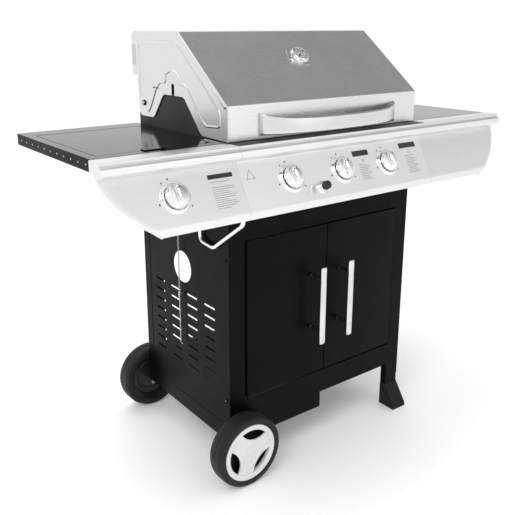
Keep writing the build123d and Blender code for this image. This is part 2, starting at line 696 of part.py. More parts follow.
def side_burner_lid():
    """Flush lid with turned-down edges, a finger lip, and knuckles at its back corners."""
    plate = block(LID_LEFT, LID_RIGHT, LID_FRONT, LID_BACK, SHELF_TOP - 3, SHELF_TOP)
    corners = plate.edges().filter_by(Axis.Z).sort_by(Axis.X)[2:]
    lid = fillet(corners.sort_by(Axis.Y)[0], 24)
    low, high, skirt_back = RECESS_FLOOR + MOVING_GAP, SHELF_TOP - 2, LID_BACK - 15
    lid += block(LID_LEFT, LID_RIGHT - 26, LID_FRONT, LID_FRONT + SHEET, low, high)
    lid += block(LID_LEFT, LID_LEFT + SHEET, LID_FRONT, skirt_back, low, high)
    lid += block(LID_RIGHT - SHEET, LID_RIGHT, LID_FRONT + 27, skirt_back, low, high)
    lip = block(-489, -438, 23, 40, SHELF_TOP + 0.4, SHELF_TOP + 2.4)
    lid += lip + block(-489, -438, LID_FRONT, 40, SHELF_TOP - 1, SHELF_TOP + 1)
    for x_low in (LID_LEFT, LID_RIGHT - 12):
        lid += block(x_low, x_low + 12, LID_PIN_Y - 5, LID_BACK, LID_PIN_Z - 3, SHELF_TOP - 2)
    left, right = (LID_LEFT - 1, LID_PIN_Y, LID_PIN_Z), (LID_RIGHT + 1, LID_PIN_Y, LID_PIN_Z)
    return lid - rod(left, right, HOOK_RADIUS + RUNNING_GAP)


# ---------------------------------------------------------------- hood

def hood_skin():
    """Front strip, slope, top and back of the hood in one bent sheet, with a field pressed out of its back."""
    path = [
        (HOOD_BACK, 955), (HOOD_BACK, 1048), (HOOD_BACK - 6, 1059), (HOOD_BACK - 18, HOOD_TOP),
        (HOOD_TOP_FRONT, HOOD_TOP), (HOOD_FRONT, HOOD_CREASE), (HOOD_FRONT, HOOD_RIM),
    ]
    inner = HOOD_HALF - SHEET
    skin = along_x(bent_sheet(path, SHEET), -inner, inner)
    low, high = BACK_FIELD
    back, edge = HOOD_BACK + BACK_FIELD_DEPTH, inner - 8
    skin += block(-edge, edge, HOOD_BACK - SHEET, back, low, high)
    skin -= block(-edge + SHEET, edge - SHEET, HOOD_BACK - 2 * SHEET, back - SHEET, low + SHEET, high - SHEET)
    return skin - disc(HOOD_SLOPE, 0, GAUGE_UP, -5, 5, 3.2)


def hood_end_caps():
    """Flat ends of the hood, cut away over the spit holder and slotted for the spit."""
    outline = [
        (HOOD_BACK, 955), (HOOD_BACK, 1048), (HOOD_BACK - 6, 1059), (HOOD_BACK - 18, HOOD_TOP),
        (HOOD_TOP_FRONT, HOOD_TOP), (HOOD_FRONT, HOOD_CREASE), (HOOD_FRONT, HOOD_RIM),
        (98, 836), (106, 841), (171, 913), (180, 916.5), (262, 916.5), (272, 911), (314, 860),
        (324, 855), (380, 855), (390.5, 862), (397, 955),
    ]
    cap = along_x(outline, -HOOD_HALF, -HOOD_HALF + SHEET)
    cap -= block(-HOOD_HALF - 1, -HOOD_HALF + 3, 218, 226, 900, 944)
    cap -= block(-HOOD_HALF - 1, -HOOD_HALF + 3, 288, 320, 928, 932)
    pivot = rod((-HOOD_HALF - 1, PIVOT_Y, PIVOT_Z), (-HOOD_HALF + 3, PIVOT_Y, PIVOT_Z),
                PIVOT_RADIUS + RUNNING_GAP)
    cap -= pivot
    return group(cap, mirrored(cap))


def hood_handle():
    """Bowed flat strip across the hood's front, with a bracket at each end."""
    ends, middle, half = BOW_ENDS, BOW_MIDDLE, BOW_HALF
    outer = ThreePointArc((-half, ends), (0, middle), (half, ends))
    inner = ThreePointArc((-half, ends + BOW_THICK), (0, middle + BOW_THICK), (half, ends + BOW_THICK))
    sides = [Line((x, ends), (x, ends + BOW_THICK)) for x in (-half, half)]
    bow = extrude(Plane((0, 0, BOW_LOW)) * make_face([outer, inner, *sides]), amount=BOW_HIGH - BOW_LOW)
    plate = [(ends, BOW_LOW), (HOOD_FRONT, BOW_LOW - 5), (HOOD_FRONT, BOW_HIGH + 14), (ends, BOW_HIGH)]
    bracket = along_x(plate, -half - 2, -half + 4)
    return bow + bracket + mirrored(bracket)


def thermometer_case():
    """Flange, cup, dial floor, needle post and probe of the hood thermometer."""
    place = (HOOD_SLOPE, 0, GAUGE_UP)
    case = disc(*place, 0, 1.2, GAUGE_FLANGE) + ring(*place, 1, 10, GAUGE_CUP, GAUGE_BORE)
    case += disc(*place, 1, 2.2, GAUGE_BORE + 1) + disc(*place, 2, 5.4, GAUGE_POST)
    return case + disc(*place, -45, 1, 3)


def thermometer_lens():
    """Window of the thermometer."""
    return disc(HOOD_SLOPE, 0, GAUGE_UP, 8.3, 9.3, GAUGE_BORE - RUNNING_GAP)


def thermometer_needle():
    """Pointer on its post, at the cold end of the dial."""
    hub = disc(HOOD_SLOPE, 0, GAUGE_UP, 2.6, 4.8, 2.5)
    pointer = Pos(0, 5, 0) * Box(1.6, 22, 0.8)
    hub += HOOD_SLOPE * Pos(0, GAUGE_UP, 4.2) * Rot(0, 0, 135) * pointer
    return hub - disc(HOOD_SLOPE, 0, GAUGE_UP, 2, 6, GAUGE_POST + RUNNING_GAP)


# ---------------------------------------------------------------- fittings

def towel_rail():
    """Bent round bar under the front panel's left end."""
    x = CHAIN_X + 2
    points = [(x, 109, 700), (x, 106, 587), (x, 51, 582), (x, -63, 661), (x, -70, 688)]
    path = FilletPolyline(*points, radius=14)
    bar = sweep(Plane(origin=path @ 0, z_dir=path % 0) * Circle(RAIL_BAR_RADIUS), path=path)
    clip = block(x, -CART_HALF, 98, 120, 676, 698)
    return bar + clip + block(x - 5, x + 5, CREASE_Y + SHEET, -68, 681, 690)


def match_holder():
    """Ring, bead chain, ferrule and rod that hang from the hook on the left panel."""
    holder = rod((CHAIN_X - 1.5, HOOK_Y, HOOK_Z), (CHAIN_X + 1.5, HOOK_Y, HOOK_Z), 4)
    holder += rod((CHAIN_X, HOOK_Y, HOOK_Z - 3), (CHAIN_X, HOOK_Y, FERRULE_TOP - 8), 0.8)
    count = 34
    for i in range(count):
        z = HOOK_Z - 8 - 6 * i
        holder += Pos(CHAIN_X, HOOK_Y, z) * Sphere(1.9)
    holder += rod((CHAIN_X, HOOK_Y, FERRULE_TOP), (CHAIN_X, HOOK_Y, FERRULE_TOP - 18), 3.4)
    holder += rod((CHAIN_X, HOOK_Y, FERRULE_TOP - 16), (CHAIN_X, HOOK_Y, ROD_BOTTOM), 2)
    left, right = (CHAIN_X - 3, HOOK_Y, HOOK_Z), (CHAIN_X + 3, HOOK_Y, HOOK_Z)
    return holder - rod(left, right, HOOK_RADIUS + RUNNING_GAP)


def fasteners():
    """Screws of the side panels, and the hook that carries the match holder."""
    heads = [rod((-CART_HALF, y, z), (-CART_HALF - 2.2, y, z), 4.5) for y, z in SCREW_SPOTS]
    heads += [mirrored(head) for head in heads]
    screws = [head + shank for head, shank in zip(heads, screw_shanks())]
    hook = rod((-CART_HALF, HOOK_Y, HOOK_Z), (CHAIN_X - 2, HOOK_Y, HOOK_Z), HOOK_RADIUS)
    hook += rod((CHAIN_X - 2, HOOK_Y, HOOK_Z), (CHAIN_X - 3.5, HOOK_Y, HOOK_Z), 3.5)
    hook += rod((-CART_HALF, HOOK_Y, HOOK_Z), (-CART_HALF - 2, HOOK_Y, HOOK_Z), 6)
    return group(*screws, hook)


def grease_tray():
    """Sliding drip tray with side flanges and a pull at its back."""
    tray = block(-TRAY_HALF, TRAY_HALF, TRAY_FRONT, TRAY_BACK, TRAY_BOTTOM, TRAY_RIM)
    tray -= block(-TRAY_HALF + SHEET, TRAY_HALF - SHEET, TRAY_FRONT + SHEET, TRAY_BACK - SHEET,
                  TRAY_BOTTOM + SHEET, TRAY_RIM + 1)
    tray += block(-TRAY_HALF - 12, -TRAY_HALF + 1, TRAY_FRONT, TRAY_BACK, TRAY_RIM - 1.2, TRAY_RIM)
    tray += block(TRAY_HALF - 1, TRAY_HALF + 12, TRAY_FRONT, TRAY_BACK, TRAY_RIM - 1.2, TRAY_RIM)
    return tray + block(-30, 30, TRAY_BACK - 1, TRAY_BACK + 14, TRAY_RIM - 4, TRAY_RIM - 2)


def tray_runners():
    """Two angle runners under the firebox, with a stop at the front."""
    shelf_z = TRAY_RIM - 1.2 - MOVING_GAP
    wall = TRAY_HALF + 14
    runner = block(-wall - SHEET, -wall, TRAY_FRONT - 4, 376, shelf_z - SHEET, FIREBOX_FLOOR)
    runner += block(-wall, -TRAY_HALF - 3, TRAY_FRONT - 4, 376, shelf_z - SHEET, shelf_z)
    runner += block(-wall, -TRAY_HALF - 3, TRAY_FRONT - 4, TRAY_FRONT - 2.5, shelf_z, FIREBOX_FLOOR)
    return group(runner, mirrored(runner))


# ---------------------------------------------------------------- export

front_place = (WHEEL_X, FRONT_WHEEL_FACE, WHEEL_RADIUS)
rear_place = (WHEEL_X, REAR_WHEEL_FACE, WHEEL_RADIUS)
front_wheel = wheel(Plane(origin=front_place, x_dir=(1, 0, 0), z_dir=(0, -1, 0)))
rear_wheel = wheel(Plane(origin=rear_place, x_dir=(-1, 0, 0), z_dir=(0, 1, 0)))

nodes = {
    "left_side_panel": left_side_panel(),
    "right_side_panel": mirrored(left_side_panel()),
    "front_posts": posts(front=True),
    "rear_posts": posts(front=False),
    "front_rails": front_rails(),
    "rear_rails": rear_rails(),
    "bottom_shelf": bottom_shelf(),
    "leg_feet": leg_feet(),
    "axle": axle(),
    "axle_brackets": axle_brackets(),
    "firebox": firebox(),
    "main_burners": main_burners(),
    "heat_tents": heat_tents(),
    "cooking_grates": cooking_grates(),
    "warming_rack": warming_rack(),
    "gas_manifold": gas_manifold(),
    "gas_valves": gas_valves(),
    "left_fascia": left_fascia(),
    "centre_fascia": centre_fascia(),
    "right_fascia": right_fascia(),
    "left_shelf": left_shelf(),
    "right_shelf": mirrored(shelf_tray()),
    "knob_bezels": knob_bezels(),
    "igniter_housing": igniter_housing(),
    "igniter_button": igniter_button(),
    "side_burner_bowl": side_burner_bowl(),
    "side_burner_head": side_burner_head(),
    "pan_support": pan_support(),
    "side_burner_lid": side_burner_lid(),
    "towel_rail": towel_rail(),
    "hinge_pins": hinge_pins(),
    "door_catches": door_catches(),
    "tray_runners": tray_runners(),
    "grease_tray": grease_tray(),
    "fasteners": fasteners(),
    "match_holder": match_holder(),
    "hood_skin": hood_skin(),
    "hood_end_caps": hood_end_caps(),
    "hood_handle": hood_handle(),
    "thermometer_case": thermometer_case(),
    "thermometer_lens": thermometer_lens(),
    "thermometer_needle": thermometer_needle(),
    "left_door": left_door(),
    "right_door": mirrored(left_door()),
    "left_door_handle": left_door_handle(),
    "right_door_handle": mirrored(left_door_handle()),
    "front_tyre": front_wheel[0],
    "front_rim": front_wheel[1],
    "front_hubcap": front_wheel[2],
    "rear_tyre": rear_wheel[0],
    "rear_rim": rear_wheel[1],
    "rear_hubcap": rear_wheel[2],
}
for number, knob_x in enumerate(KNOB_X, start=1):
    nodes[f"knob_{number}"] = knob(knob_x)
    nodes[f"valve_stem_{number}"] = valve_stem(knob_x)

os.makedirs("parts", exist_ok=True)
for name, shape in nodes.items():
    export_step(Pos(0, -ORIGIN_Y, 0) * shape, f"parts/{name}.step")

low = [min(tuple(shape.bounding_box().min)[i] for shape in nodes.values()) for i in range(3)]
high = [max(tuple(shape.bounding_box().max)[i] for shape in nodes.values()) for i in range(3)]
print("nodes", len(nodes), "outline", low, high, "middle", (low[1] + high[1]) / 2)
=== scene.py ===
import bmesh
import bpy
import json
import math
from mathutils import Matrix, Vector

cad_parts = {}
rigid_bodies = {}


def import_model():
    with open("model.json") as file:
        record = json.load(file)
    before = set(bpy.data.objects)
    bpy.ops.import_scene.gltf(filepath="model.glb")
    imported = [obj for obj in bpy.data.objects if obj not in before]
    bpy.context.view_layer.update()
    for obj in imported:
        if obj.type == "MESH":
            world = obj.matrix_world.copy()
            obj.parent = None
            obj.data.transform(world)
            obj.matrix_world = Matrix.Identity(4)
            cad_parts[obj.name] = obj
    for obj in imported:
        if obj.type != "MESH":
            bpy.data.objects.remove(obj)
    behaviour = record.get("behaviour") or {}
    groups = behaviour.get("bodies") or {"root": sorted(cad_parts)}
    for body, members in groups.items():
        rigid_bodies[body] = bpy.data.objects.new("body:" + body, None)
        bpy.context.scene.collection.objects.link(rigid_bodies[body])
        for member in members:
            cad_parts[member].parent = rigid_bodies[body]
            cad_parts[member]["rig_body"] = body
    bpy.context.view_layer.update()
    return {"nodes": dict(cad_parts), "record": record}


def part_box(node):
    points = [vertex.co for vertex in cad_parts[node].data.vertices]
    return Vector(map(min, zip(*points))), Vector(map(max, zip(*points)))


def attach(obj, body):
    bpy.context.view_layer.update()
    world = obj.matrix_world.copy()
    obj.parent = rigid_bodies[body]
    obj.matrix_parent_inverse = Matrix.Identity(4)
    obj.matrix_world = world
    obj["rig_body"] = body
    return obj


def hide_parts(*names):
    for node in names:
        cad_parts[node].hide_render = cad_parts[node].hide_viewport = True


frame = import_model()

MM = 0.001
CART_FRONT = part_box("front_posts")[0].y / MM      # the cabinet's front face, in millimetres
SLOT_OF = {row["node"]: row["material_slot"] for row in frame["record"]["subparts"]}

# Places from the CAD part, in millimetres: x from the cart's middle, y from the cabinet's front
# face towards the back, z from the floor. A pair is (y, z) unless its comment says otherwise.
SHEET = 1.2                             # thickness of the bent sheets
FASCIA_TILT = math.radians(28.34)       # how far the front panel's face leans back
CREASE = (-80.3, 692.6)                 # the bend at the foot of the slanted face
TOP_FACE = (-26.0, 793.3)               # the top of the slanted face
LIP_Z = 676.7                           # the panel's lowest edge
PANEL_TOP = 831.7                       # the panel's level top
FASCIA_END = 620.0                      # half the panel's length
SEAM_X = 297.0                          # the seams between its three pieces
KNOBS = (-464.0, -160.0, -1.0, 153.0)   # x of each knob
KNOB_UP = 61.0                          # how far up the slanted face the knobs are
IGNITER = (-81.0, 27.0)                 # x, and distance up the slanted face
DOOR_FACE = -4.5                        # y of the doors' front
DOOR_STANDOFFS = (335.0, 475.0)         # z of the standoffs of a door's bar
HOOD_HALF = 301.5                       # the outer face of the hood's end plates
HOOD_FRONT = -3.3
HOOD_RIM_Z = 834.0                      # the hood's lower edge at the front
HOOD_BEND_Z = 911.5                     # where the front strip turns into the slope
HOOD_CREST = (192.4, 1064.3)            # where the slope turns into the top
HOOD_BACK = 420.0
HOOD_BACK_Z = 955.0                     # the lower edge of the hood's back
HOOD_PIVOT = (365.0, 888.0)
PIVOT_END_X = 304.5                     # the outer end of the hood's pins
GAUGE_UP = 151.0                        # how far up the slope the thermometer is
MATCH_X, MATCH_Y, MATCH_TOP = -308.0, 207.0, 640.0
TOWEL_X = -306.0
WHEEL_X, WHEEL_Z = -282.0, 90.0


# ---------------------------------------------------------------- places

def spot(x, y, z):
    """A point given in millimetres from the cabinet's front, in the model's metres."""
    return Vector((x * MM, (y + CART_FRONT) * MM, z * MM))


def plane(origin, x_dir, z_dir):
    """Matrix from local millimetres to the model, with local Z along z_dir."""
    z_axis = Vector(z_dir).normalized()
    x_axis = Vector(x_dir).normalized()
    y_axis = z_axis.cross(x_axis)
    turn = Matrix((x_axis, y_axis, z_axis)).transposed().to_4x4()
    return Matrix.Translation(spot(*origin)) @ turn @ Matrix.Scale(MM, 4)


WORLD = plane((0, 0, 0), (1, 0, 0), (0, 0, 1))
FACE = plane((0, *CREASE), (1, 0, 0), (0, -math.cos(FASCIA_TILT), math.sin(FASCIA_TILT)))
SLOPE = plane((0, HOOD_FRONT, HOOD_BEND_Z), (1, 0, 0),
              (0, HOOD_BEND_Z - HOOD_CREST[1], HOOD_CREST[0] - HOOD_FRONT))


# ---------------------------------------------------------------- materials

class Nodes:
    """A small helper that adds and joins shader nodes."""

    def __init__(self, name):
        self.material = bpy.data.materials.new(name)
        self.material.use_nodes = True
        self.tree = self.material.node_tree
        self.shader = self.tree.nodes["Principled BSDF"]
        self.coords = self.add("ShaderNodeTexCoord").outputs["Object"]

    def add(self, kind):
        """A new node of a kind."""
        return self.tree.nodes.new(kind)

    def join(self, output, target):
        """Links an output to an input."""
        self.tree.links.new(output, target)

    def noise(self, scale, detail=3.0, stretch=(1, 1, 1)):
        """Noise over the model's metres, drawn out along an axis by a stretch under 1."""
        mapping = self.add("ShaderNodeMapping")
        mapping.inputs["Scale"].default_value = stretch
        self.join(self.coords, mapping.inputs["Vector"])
        noise = self.add("ShaderNodeTexNoise")
        noise.inputs["Scale"].default_value = scale
        noise.inputs["Detail"].default_value = detail
        noise.inputs["Roughness"].default_value = 0.5
        self.join(mapping.outputs["Vector"], noise.inputs["Vector"])
        return noise.outputs["Fac"]

    def ramp(self, value, low, high):
        """A noise value, mostly from 0.3 to 0.7, spread to a number between low and high."""
        spread = self.add("ShaderNodeMapRange")
        spread.inputs["From Min"].default_value = 0.3
        spread.inputs["From Max"].default_value = 0.7
        spread.inputs["To Min"].default_value = low
        spread.inputs["To Max"].default_value = high
        self.join(value, spread.inputs["Value"])
        return spread.outputs["Result"]

    def tint(self, value, dark, light):
        """A base colour between dark and light, by a value from 0 to 1."""
        mix = self.add("ShaderNodeMix")
        mix.data_type = "RGBA"
        mix.inputs["A"].default_value = (*dark, 1)
        mix.inputs["B"].default_value = (*light, 1)
        self.join(value, mix.inputs["Factor"])
        self.join(mix.outputs["Result"], self.shader.inputs["Base Color"])

    def bump(self, height, strength, distance):
        """Bump, on top of any bump that is there already."""
        bump = self.add("ShaderNodeBump")
        bump.inputs["Strength"].default_value = strength
        bump.inputs["Distance"].default_value = distance
        self.join(height, bump.inputs["Height"])
        before = self.shader.inputs["Normal"]
        if before.is_linked:
            self.join(before.links[0].from_socket, bump.inputs["Normal"])
        self.join(bump.outputs["Normal"], before)


def enamel(name, base, rough_low, rough_high, gloss):
    """Black paint on steel: faint orange peel, uneven gloss and a little dust."""
    m = Nodes(name)
    m.tint(m.ramp(m.noise(9, 5), 0, 1), base, tuple(c * 1.4 + 0.001 for c in base))
    m.join(m.ramp(m.noise(14, 5), rough_low, rough_high), m.shader.inputs["Roughness"])
    m.bump(m.noise(900, 2), 0.06, 0.0001)
    m.shader.inputs["Specular IOR Level"].default_value = gloss
    return m.material


def brushed(name, dark, light, rough_low, rough_high, stretch, strength=0.12):
    """Brushed sheet: fine long streaks in height, gloss and colour, with soft smudges."""
    m = Nodes(name)
    streaks = m.noise(1500, 2, stretch)
    wide = m.noise(420, 3, stretch)
    m.tint(m.ramp(wide, 0, 1), dark, light)
    smudge = m.noise(7, 4)
    total = m.add("ShaderNodeMath")
    total.operation = "ADD"
    m.join(m.ramp(streaks, rough_low, rough_high), total.inputs[0])
    m.join(m.ramp(smudge, -0.02, 0.04), total.inputs[1])
    m.join(total.outputs["Value"], m.shader.inputs["Roughness"])
    m.bump(streaks, strength, 0.00015)
    m.bump(m.noise(3.0, 1), 0.10, 0.003)
    m.shader.inputs["Metallic"].default_value = 1.0
    return m.material


def polished(name, color, rough_low, rough_high):
    """Bright metal with faint scratches."""
    m = Nodes(name)
    m.tint(m.ramp(m.noise(30, 3), 0, 1), tuple(c * 0.92 for c in color), color)
    m.join(m.ramp(m.noise(250, 4), rough_low, rough_high), m.shader.inputs["Roughness"])
    m.bump(m.noise(500, 2, (1, 1, 0.1)), 0.05, 0.0002)
    m.shader.inputs["Metallic"].default_value = 1.0
    return m.material


def moulded(name, dark, light, rough_low, rough_high, grain=600, strength=0.2, gloss=0.5):
    """Moulded plastic or rubber with a fine grain."""
    m = Nodes(name)
    m.shader.inputs["Specular IOR Level"].default_value = gloss
    m.tint(m.ramp(m.noise(25, 5), 0, 1), dark, light)
    m.join(m.ramp(m.noise(90, 4), rough_low, rough_high), m.shader.inputs["Roughness"])
    m.bump(m.noise(grain, 3), strength, 0.0003)
    return m.material


def cast(name):
    """Sand-cast iron with a rough skin."""
    m = Nodes(name)
    m.tint(m.ramp(m.noise(60, 6), 0, 1), (0.012, 0.012, 0.012), (0.04, 0.038, 0.036))
    m.join(m.ramp(m.noise(200, 4), 0.45, 0.75), m.shader.inputs["Roughness"])
    m.bump(m.noise(700, 5), 0.5, 0.0006)
    return m.material


def window_glass(name):
    """Clear glass, very slightly smeared."""
    m = Nodes(name)
    m.join(m.ramp(m.noise(80, 3), 0.02, 0.08), m.shader.inputs["Roughness"])
    m.shader.inputs["Transmission Weight"].default_value = 1.0
    m.shader.inputs["Base Color"].default_value = (0.97, 0.98, 0.98, 1)
    return m.material


NO_STRETCH = (1, 1, 1)
ALONG_X = (0.03, 1, 1)      # draws a noise out along x into long streaks
MATERIALS = {
    "black_enamel": enamel("black_enamel", (0.0019, 0.0017, 0.0018), 0.30, 0.42, 0.06),
    "firebox_enamel": enamel("firebox_enamel", (0.012, 0.012, 0.012), 0.42, 0.60, 0.30),
    "shelf_enamel": enamel("shelf_enamel", (0.0018, 0.0018, 0.0020), 0.10, 0.17, 0.24),
    "grey_plastic": moulded("grey_plastic", (0.006, 0.006, 0.006), (0.011, 0.011, 0.011), 0.42, 0.58,
                            gloss=0.16),
    "black_plastic": moulded("black_plastic", (0.005, 0.005, 0.005), (0.009, 0.009, 0.009),
                             0.30, 0.45),
    "silver_plastic": moulded("silver_plastic", (0.62, 0.62, 0.62), (0.69, 0.69, 0.69), 0.24, 0.36,
                              900, 0.05),
    "wheel_rubber": moulded("wheel_rubber", (0.009, 0.009, 0.009), (0.016, 0.016, 0.016), 0.42, 0.62,
                            700, 0.30, gloss=0.24),
    "zinc_steel": brushed("zinc_steel", (0.34, 0.34, 0.35), (0.46, 0.46, 0.48), 0.32, 0.5, NO_STRETCH),
    "chrome_wire": polished("chrome_wire", (0.46, 0.46, 0.48), 0.16, 0.28),
    "chrome": polished("chrome", (0.86, 0.86, 0.87), 0.04, 0.12),
    "polished_handle": polished("polished_handle", (0.72, 0.72, 0.72), 0.16, 0.28),
    "brushed_steel": brushed("brushed_steel", (0.71, 0.71, 0.72), (0.75, 0.75, 0.76), 0.24, 0.33,
                             ALONG_X, 0.035),
    "silver_panel": brushed("silver_panel", (0.78, 0.78, 0.78), (0.81, 0.81, 0.81), 0.28, 0.38,
                            ALONG_X, 0.025),
    "knob_plating": polished("knob_plating", (0.88, 0.88, 0.89), 0.05, 0.12),
    "cast_iron": cast("cast_iron"),
    "brass": polished("brass", (0.62, 0.46, 0.20), 0.25, 0.4),
    "clear_glass": window_glass("clear_glass"),
}
# Black ink: print on the panel, knob pointers and dial ticks, and also the painted shade of the
# firebox's wall holes.
PRINT_AND_SHADE_INK = moulded("print_and_hole_shade_ink", (0.012, 0.012, 0.012), (0.02, 0.02, 0.02), 0.5, 0.6)
GREY_INK = moulded("grey_ink", (0.22, 0.22, 0.22), (0.30, 0.30, 0.30), 0.5, 0.6)
WHITE_INK = moulded("white_ink", (0.75, 0.75, 0.75), (0.85, 0.85, 0.85), 0.5, 0.6)
DIAL = moulded("dial_white", (0.72, 0.72, 0.70), (0.80, 0.80, 0.78), 0.35, 0.5)


# ---------------------------------------------------------------- mesh tools

def piece(name, bm, body, slot, replaces=(), sharp=32, bevel=0.0, material=None):
    """Makes a mesh piece from a bmesh, gives it its finish and rides it on a body."""
    bmesh.ops.recalc_face_normals(bm, faces=bm.faces)
    for face in bm.faces:
        face.smooth = True
    limit = math.radians(sharp)
    for edge in bm.edges:
        edge.smooth = len(edge.link_faces) == 2 and edge.calc_face_angle(math.pi) < limit
    mesh = bpy.data.meshes.new(name)
    bm.to_mesh(mesh)
    bm.free()
    mesh.materials.append(material or MATERIALS[slot])
    obj = bpy.data.objects.new(name, mesh)
    bpy.context.scene.collection.objects.link(obj)
    if bevel:
        soften(obj, bevel)
    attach(obj, body)
    if replaces:
        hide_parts(*replaces)
    return obj


def soften(obj, width, segments=2, angle=35):
    """Rounds a piece's sharp edges."""
    modifier = obj.modifiers.new("edges", "BEVEL")
    modifier.width = width * MM
    modifier.segments = segments
    modifier.limit_method = "ANGLE"
    modifier.angle_limit = math.radians(angle)
    modifier.harden_normals = True
    modifier.use_clamp_overlap = True


def from_cad(node, width):
    """A copy of a CAD node with its edges rounded, standing for the node."""
    bm = bmesh.new()
    bm.from_mesh(frame["nodes"][node].data)
    bmesh.ops.remove_doubles(bm, verts=bm.verts, dist=2e-6)
    bmesh.ops.dissolve_limit(bm, angle_limit=math.radians(0.5), verts=bm.verts, edges=bm.edges)
    body = frame["nodes"][node]["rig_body"]
    return piece(node + "_finished", bm, body, SLOT_OF[node], (node,), bevel=width)


def add_box(bm, low, high, place=None):
    """Adds a box between two corners, in the local millimetres of place."""
    verts = []
    for x in (low[0], high[0]):
        for y in (low[1], high[1]):
            for z in (low[2], high[2]):
                point = Vector((x, y, z))
                verts.append(bm.verts.new(place @ point if place else point))
    for quad in ((0, 1, 3, 2), (4, 6, 7, 5), (0, 4, 5, 1), (2, 3, 7, 6), (0, 2, 6, 4), (1, 5, 7, 3)):
        bm.faces.new([verts[i] for i in quad])


def join_rows(bm, rows):
    """Faces round and between rows of vertices that each form a loop, with both ends capped."""
    count = len(rows[0])
    for a, b in zip(rows, rows[1:]):
        for k in range(count):
            j = (k + 1) % count
            bm.faces.new((a[k], a[j], b[j], b[k]))
    bm.faces.new(rows[0][::-1])
    bm.faces.new(rows[-1])


def add_lathe(bm, profile, place, steps=72, closed=True):
    """Turns a profile of (radius, height) points round the local Z axis of place."""
    rings = []
    for radius, height in profile:
        if radius < 1e-6:
            rings.append([bm.verts.new(place @ Vector((0, 0, height)))])
            continue
        ring = []
        for i in range(steps):
            angle = 2 * math.pi * i / steps
            point = Vector((radius * math.cos(angle), radius * math.sin(angle), height))
            ring.append(bm.verts.new(place @ point))
        rings.append(ring)
    pairs = list(zip(rings, rings[1:]))
    if closed:
        pairs.append((rings[-1], rings[0]))
    for a, b in pairs:
        for i in range(steps):
            j = (i + 1) % steps
            if len(a) == 1 and len(b) == 1:
                break
            if len(a) == 1:
                bm.faces.new((a[0], b[j], b[i]))
            elif len(b) == 1:
                bm.faces.new((a[i], a[j], b[0]))
            else:
                bm.faces.new((a[i], a[j], b[j], b[i]))


def add_prism(bm, outline, low, high, place):
    """Draws a closed outline of local (x, y) points out along local Z, with capped ends."""
    bottom = [bm.verts.new(place @ Vector((x, y, low))) for x, y in outline]
    top = [bm.verts.new(place @ Vector((x, y, high))) for x, y in outline]
    bm.faces.new(bottom[::-1])
    bm.faces.new(top)
    count = len(outline)
    for i in range(count):
        j = (i + 1) % count
        bm.faces.new((bottom[i], bottom[j], top[j], top[i]))


def add_tube(bm, points, radius, sides=12, closed=False):
    """A round bar through points given in the model's metres."""
    rings = []
    count = len(points)
    normal = None
    for i, point in enumerate(points):
        if closed:
            run = (points[(i + 1) % count] - points[i - 1]).normalized()
        else:
            run = (points[min(i + 1, count - 1)] - points[max(i - 1, 0)]).normalized()
        if normal is None:
            normal = run.orthogonal().normalized()
        normal = (normal - run * normal.dot(run)).normalized()
        side = run.cross(normal)
        ring = []
        for k in range(sides):
            angle = 2 * math.pi * k / sides
            out = normal * math.cos(angle) + side * math.sin(angle)
            ring.append(bm.verts.new(point + out * radius * MM))
        rings.append(ring)
    if not closed:
        join_rows(bm, rings)
        return
    for a, b in zip(rings, rings[1:] + rings[:1]):
        for k in range(sides):
            bm.faces.new((a[k], a[(k + 1) % sides], b[(k + 1) % sides], b[k]))


def rounded(points, radius, steps=6):
    """A path of 2-D points with its inner corners rounded, by one radius or one for each corner."""
    path = [Vector(points[0])]
    for i in range(1, len(points) - 1):
        here = Vector(points[i])
        back = Vector(points[i - 1]) - here
        on = Vector(points[i + 1]) - here
        size = radius[i - 1] if isinstance(radius, (list, tuple)) else radius
        turn = back.angle(on)
        reach = min(size / math.tan(turn / 2), 0.48 * back.length, 0.48 * on.length)
        size = reach * math.tan(turn / 2)
        start = here + back.normalized() * reach
        end = here + on.normalized() * reach
        middle = (back.normalized() + on.normalized()).normalized()
        centre = here + middle * (size / math.sin(turn / 2))
        for k in range(steps + 1):
            share = k / steps
            chord = start.lerp(end, share)
            path.append(centre + (chord - centre).normalized() * size)
    path.append(Vector(points[-1]))
    return path


def add_sheet(bm, rows, thickness):
    """A sheet of metal from rows of points in the model's metres, thickened to its inner side."""
    grid = [[bm.verts.new(point) for point in row] for row in rows]
    faces = []
    for a, b in zip(grid, grid[1:]):
        for i in range(len(a) - 1):
            faces.append(bm.faces.new((a[i], a[i + 1], b[i + 1], b[i])))
    bmesh.ops.recalc_face_normals(bm, faces=faces)
    bmesh.ops.solidify(bm, geom=faces, thickness=thickness * MM)


# ---------------------------------------------------------------- cabinet

# CAD nodes whose edges are rounded, and by how many millimetres.
ROUNDED_NODES = {
    "left_side_panel": 0.35, "right_side_panel": 0.35, "front_posts": 0.6, "rear_posts": 0.6,
    "front_rails": 0.5, "rear_rails": 0.5, "bottom_shelf": 0.5, "leg_feet": 1.6,
    "left_door": 0.7, "right_door": 0.7, "axle_brackets": 0.4, "firebox": 0.5,
    "heat_tents": 0.4, "cooking_grates": 1.2, "left_shelf": 0.6, "right_shelf": 0.6,
    "side_burner_bowl": 0.5, "pan_support": 0.8, "side_burner_lid": 0.6, "door_catches": 0.6,
    "tray_runners": 0.3, "grease_tray": 0.4,
}
GLOSSY_TOPS = ("left_shelf", "right_shelf", "side_burner_lid")
BLACK_NODES = ("fasteners", "hinge_pins")
KEPT_NODES = (
    "axle", "main_burners", "warming_rack", "gas_manifold", "gas_valves", "side_burner_head",
    "igniter_housing", "valve_stem_1", "valve_stem_2", "valve_stem_3", "valve_stem_4",
)


def give(node, material):
    """Gives a carried-over CAD node one material."""
    materials = frame["nodes"][node].data.materials
    materials.clear()
    materials.append(MATERIALS[material])


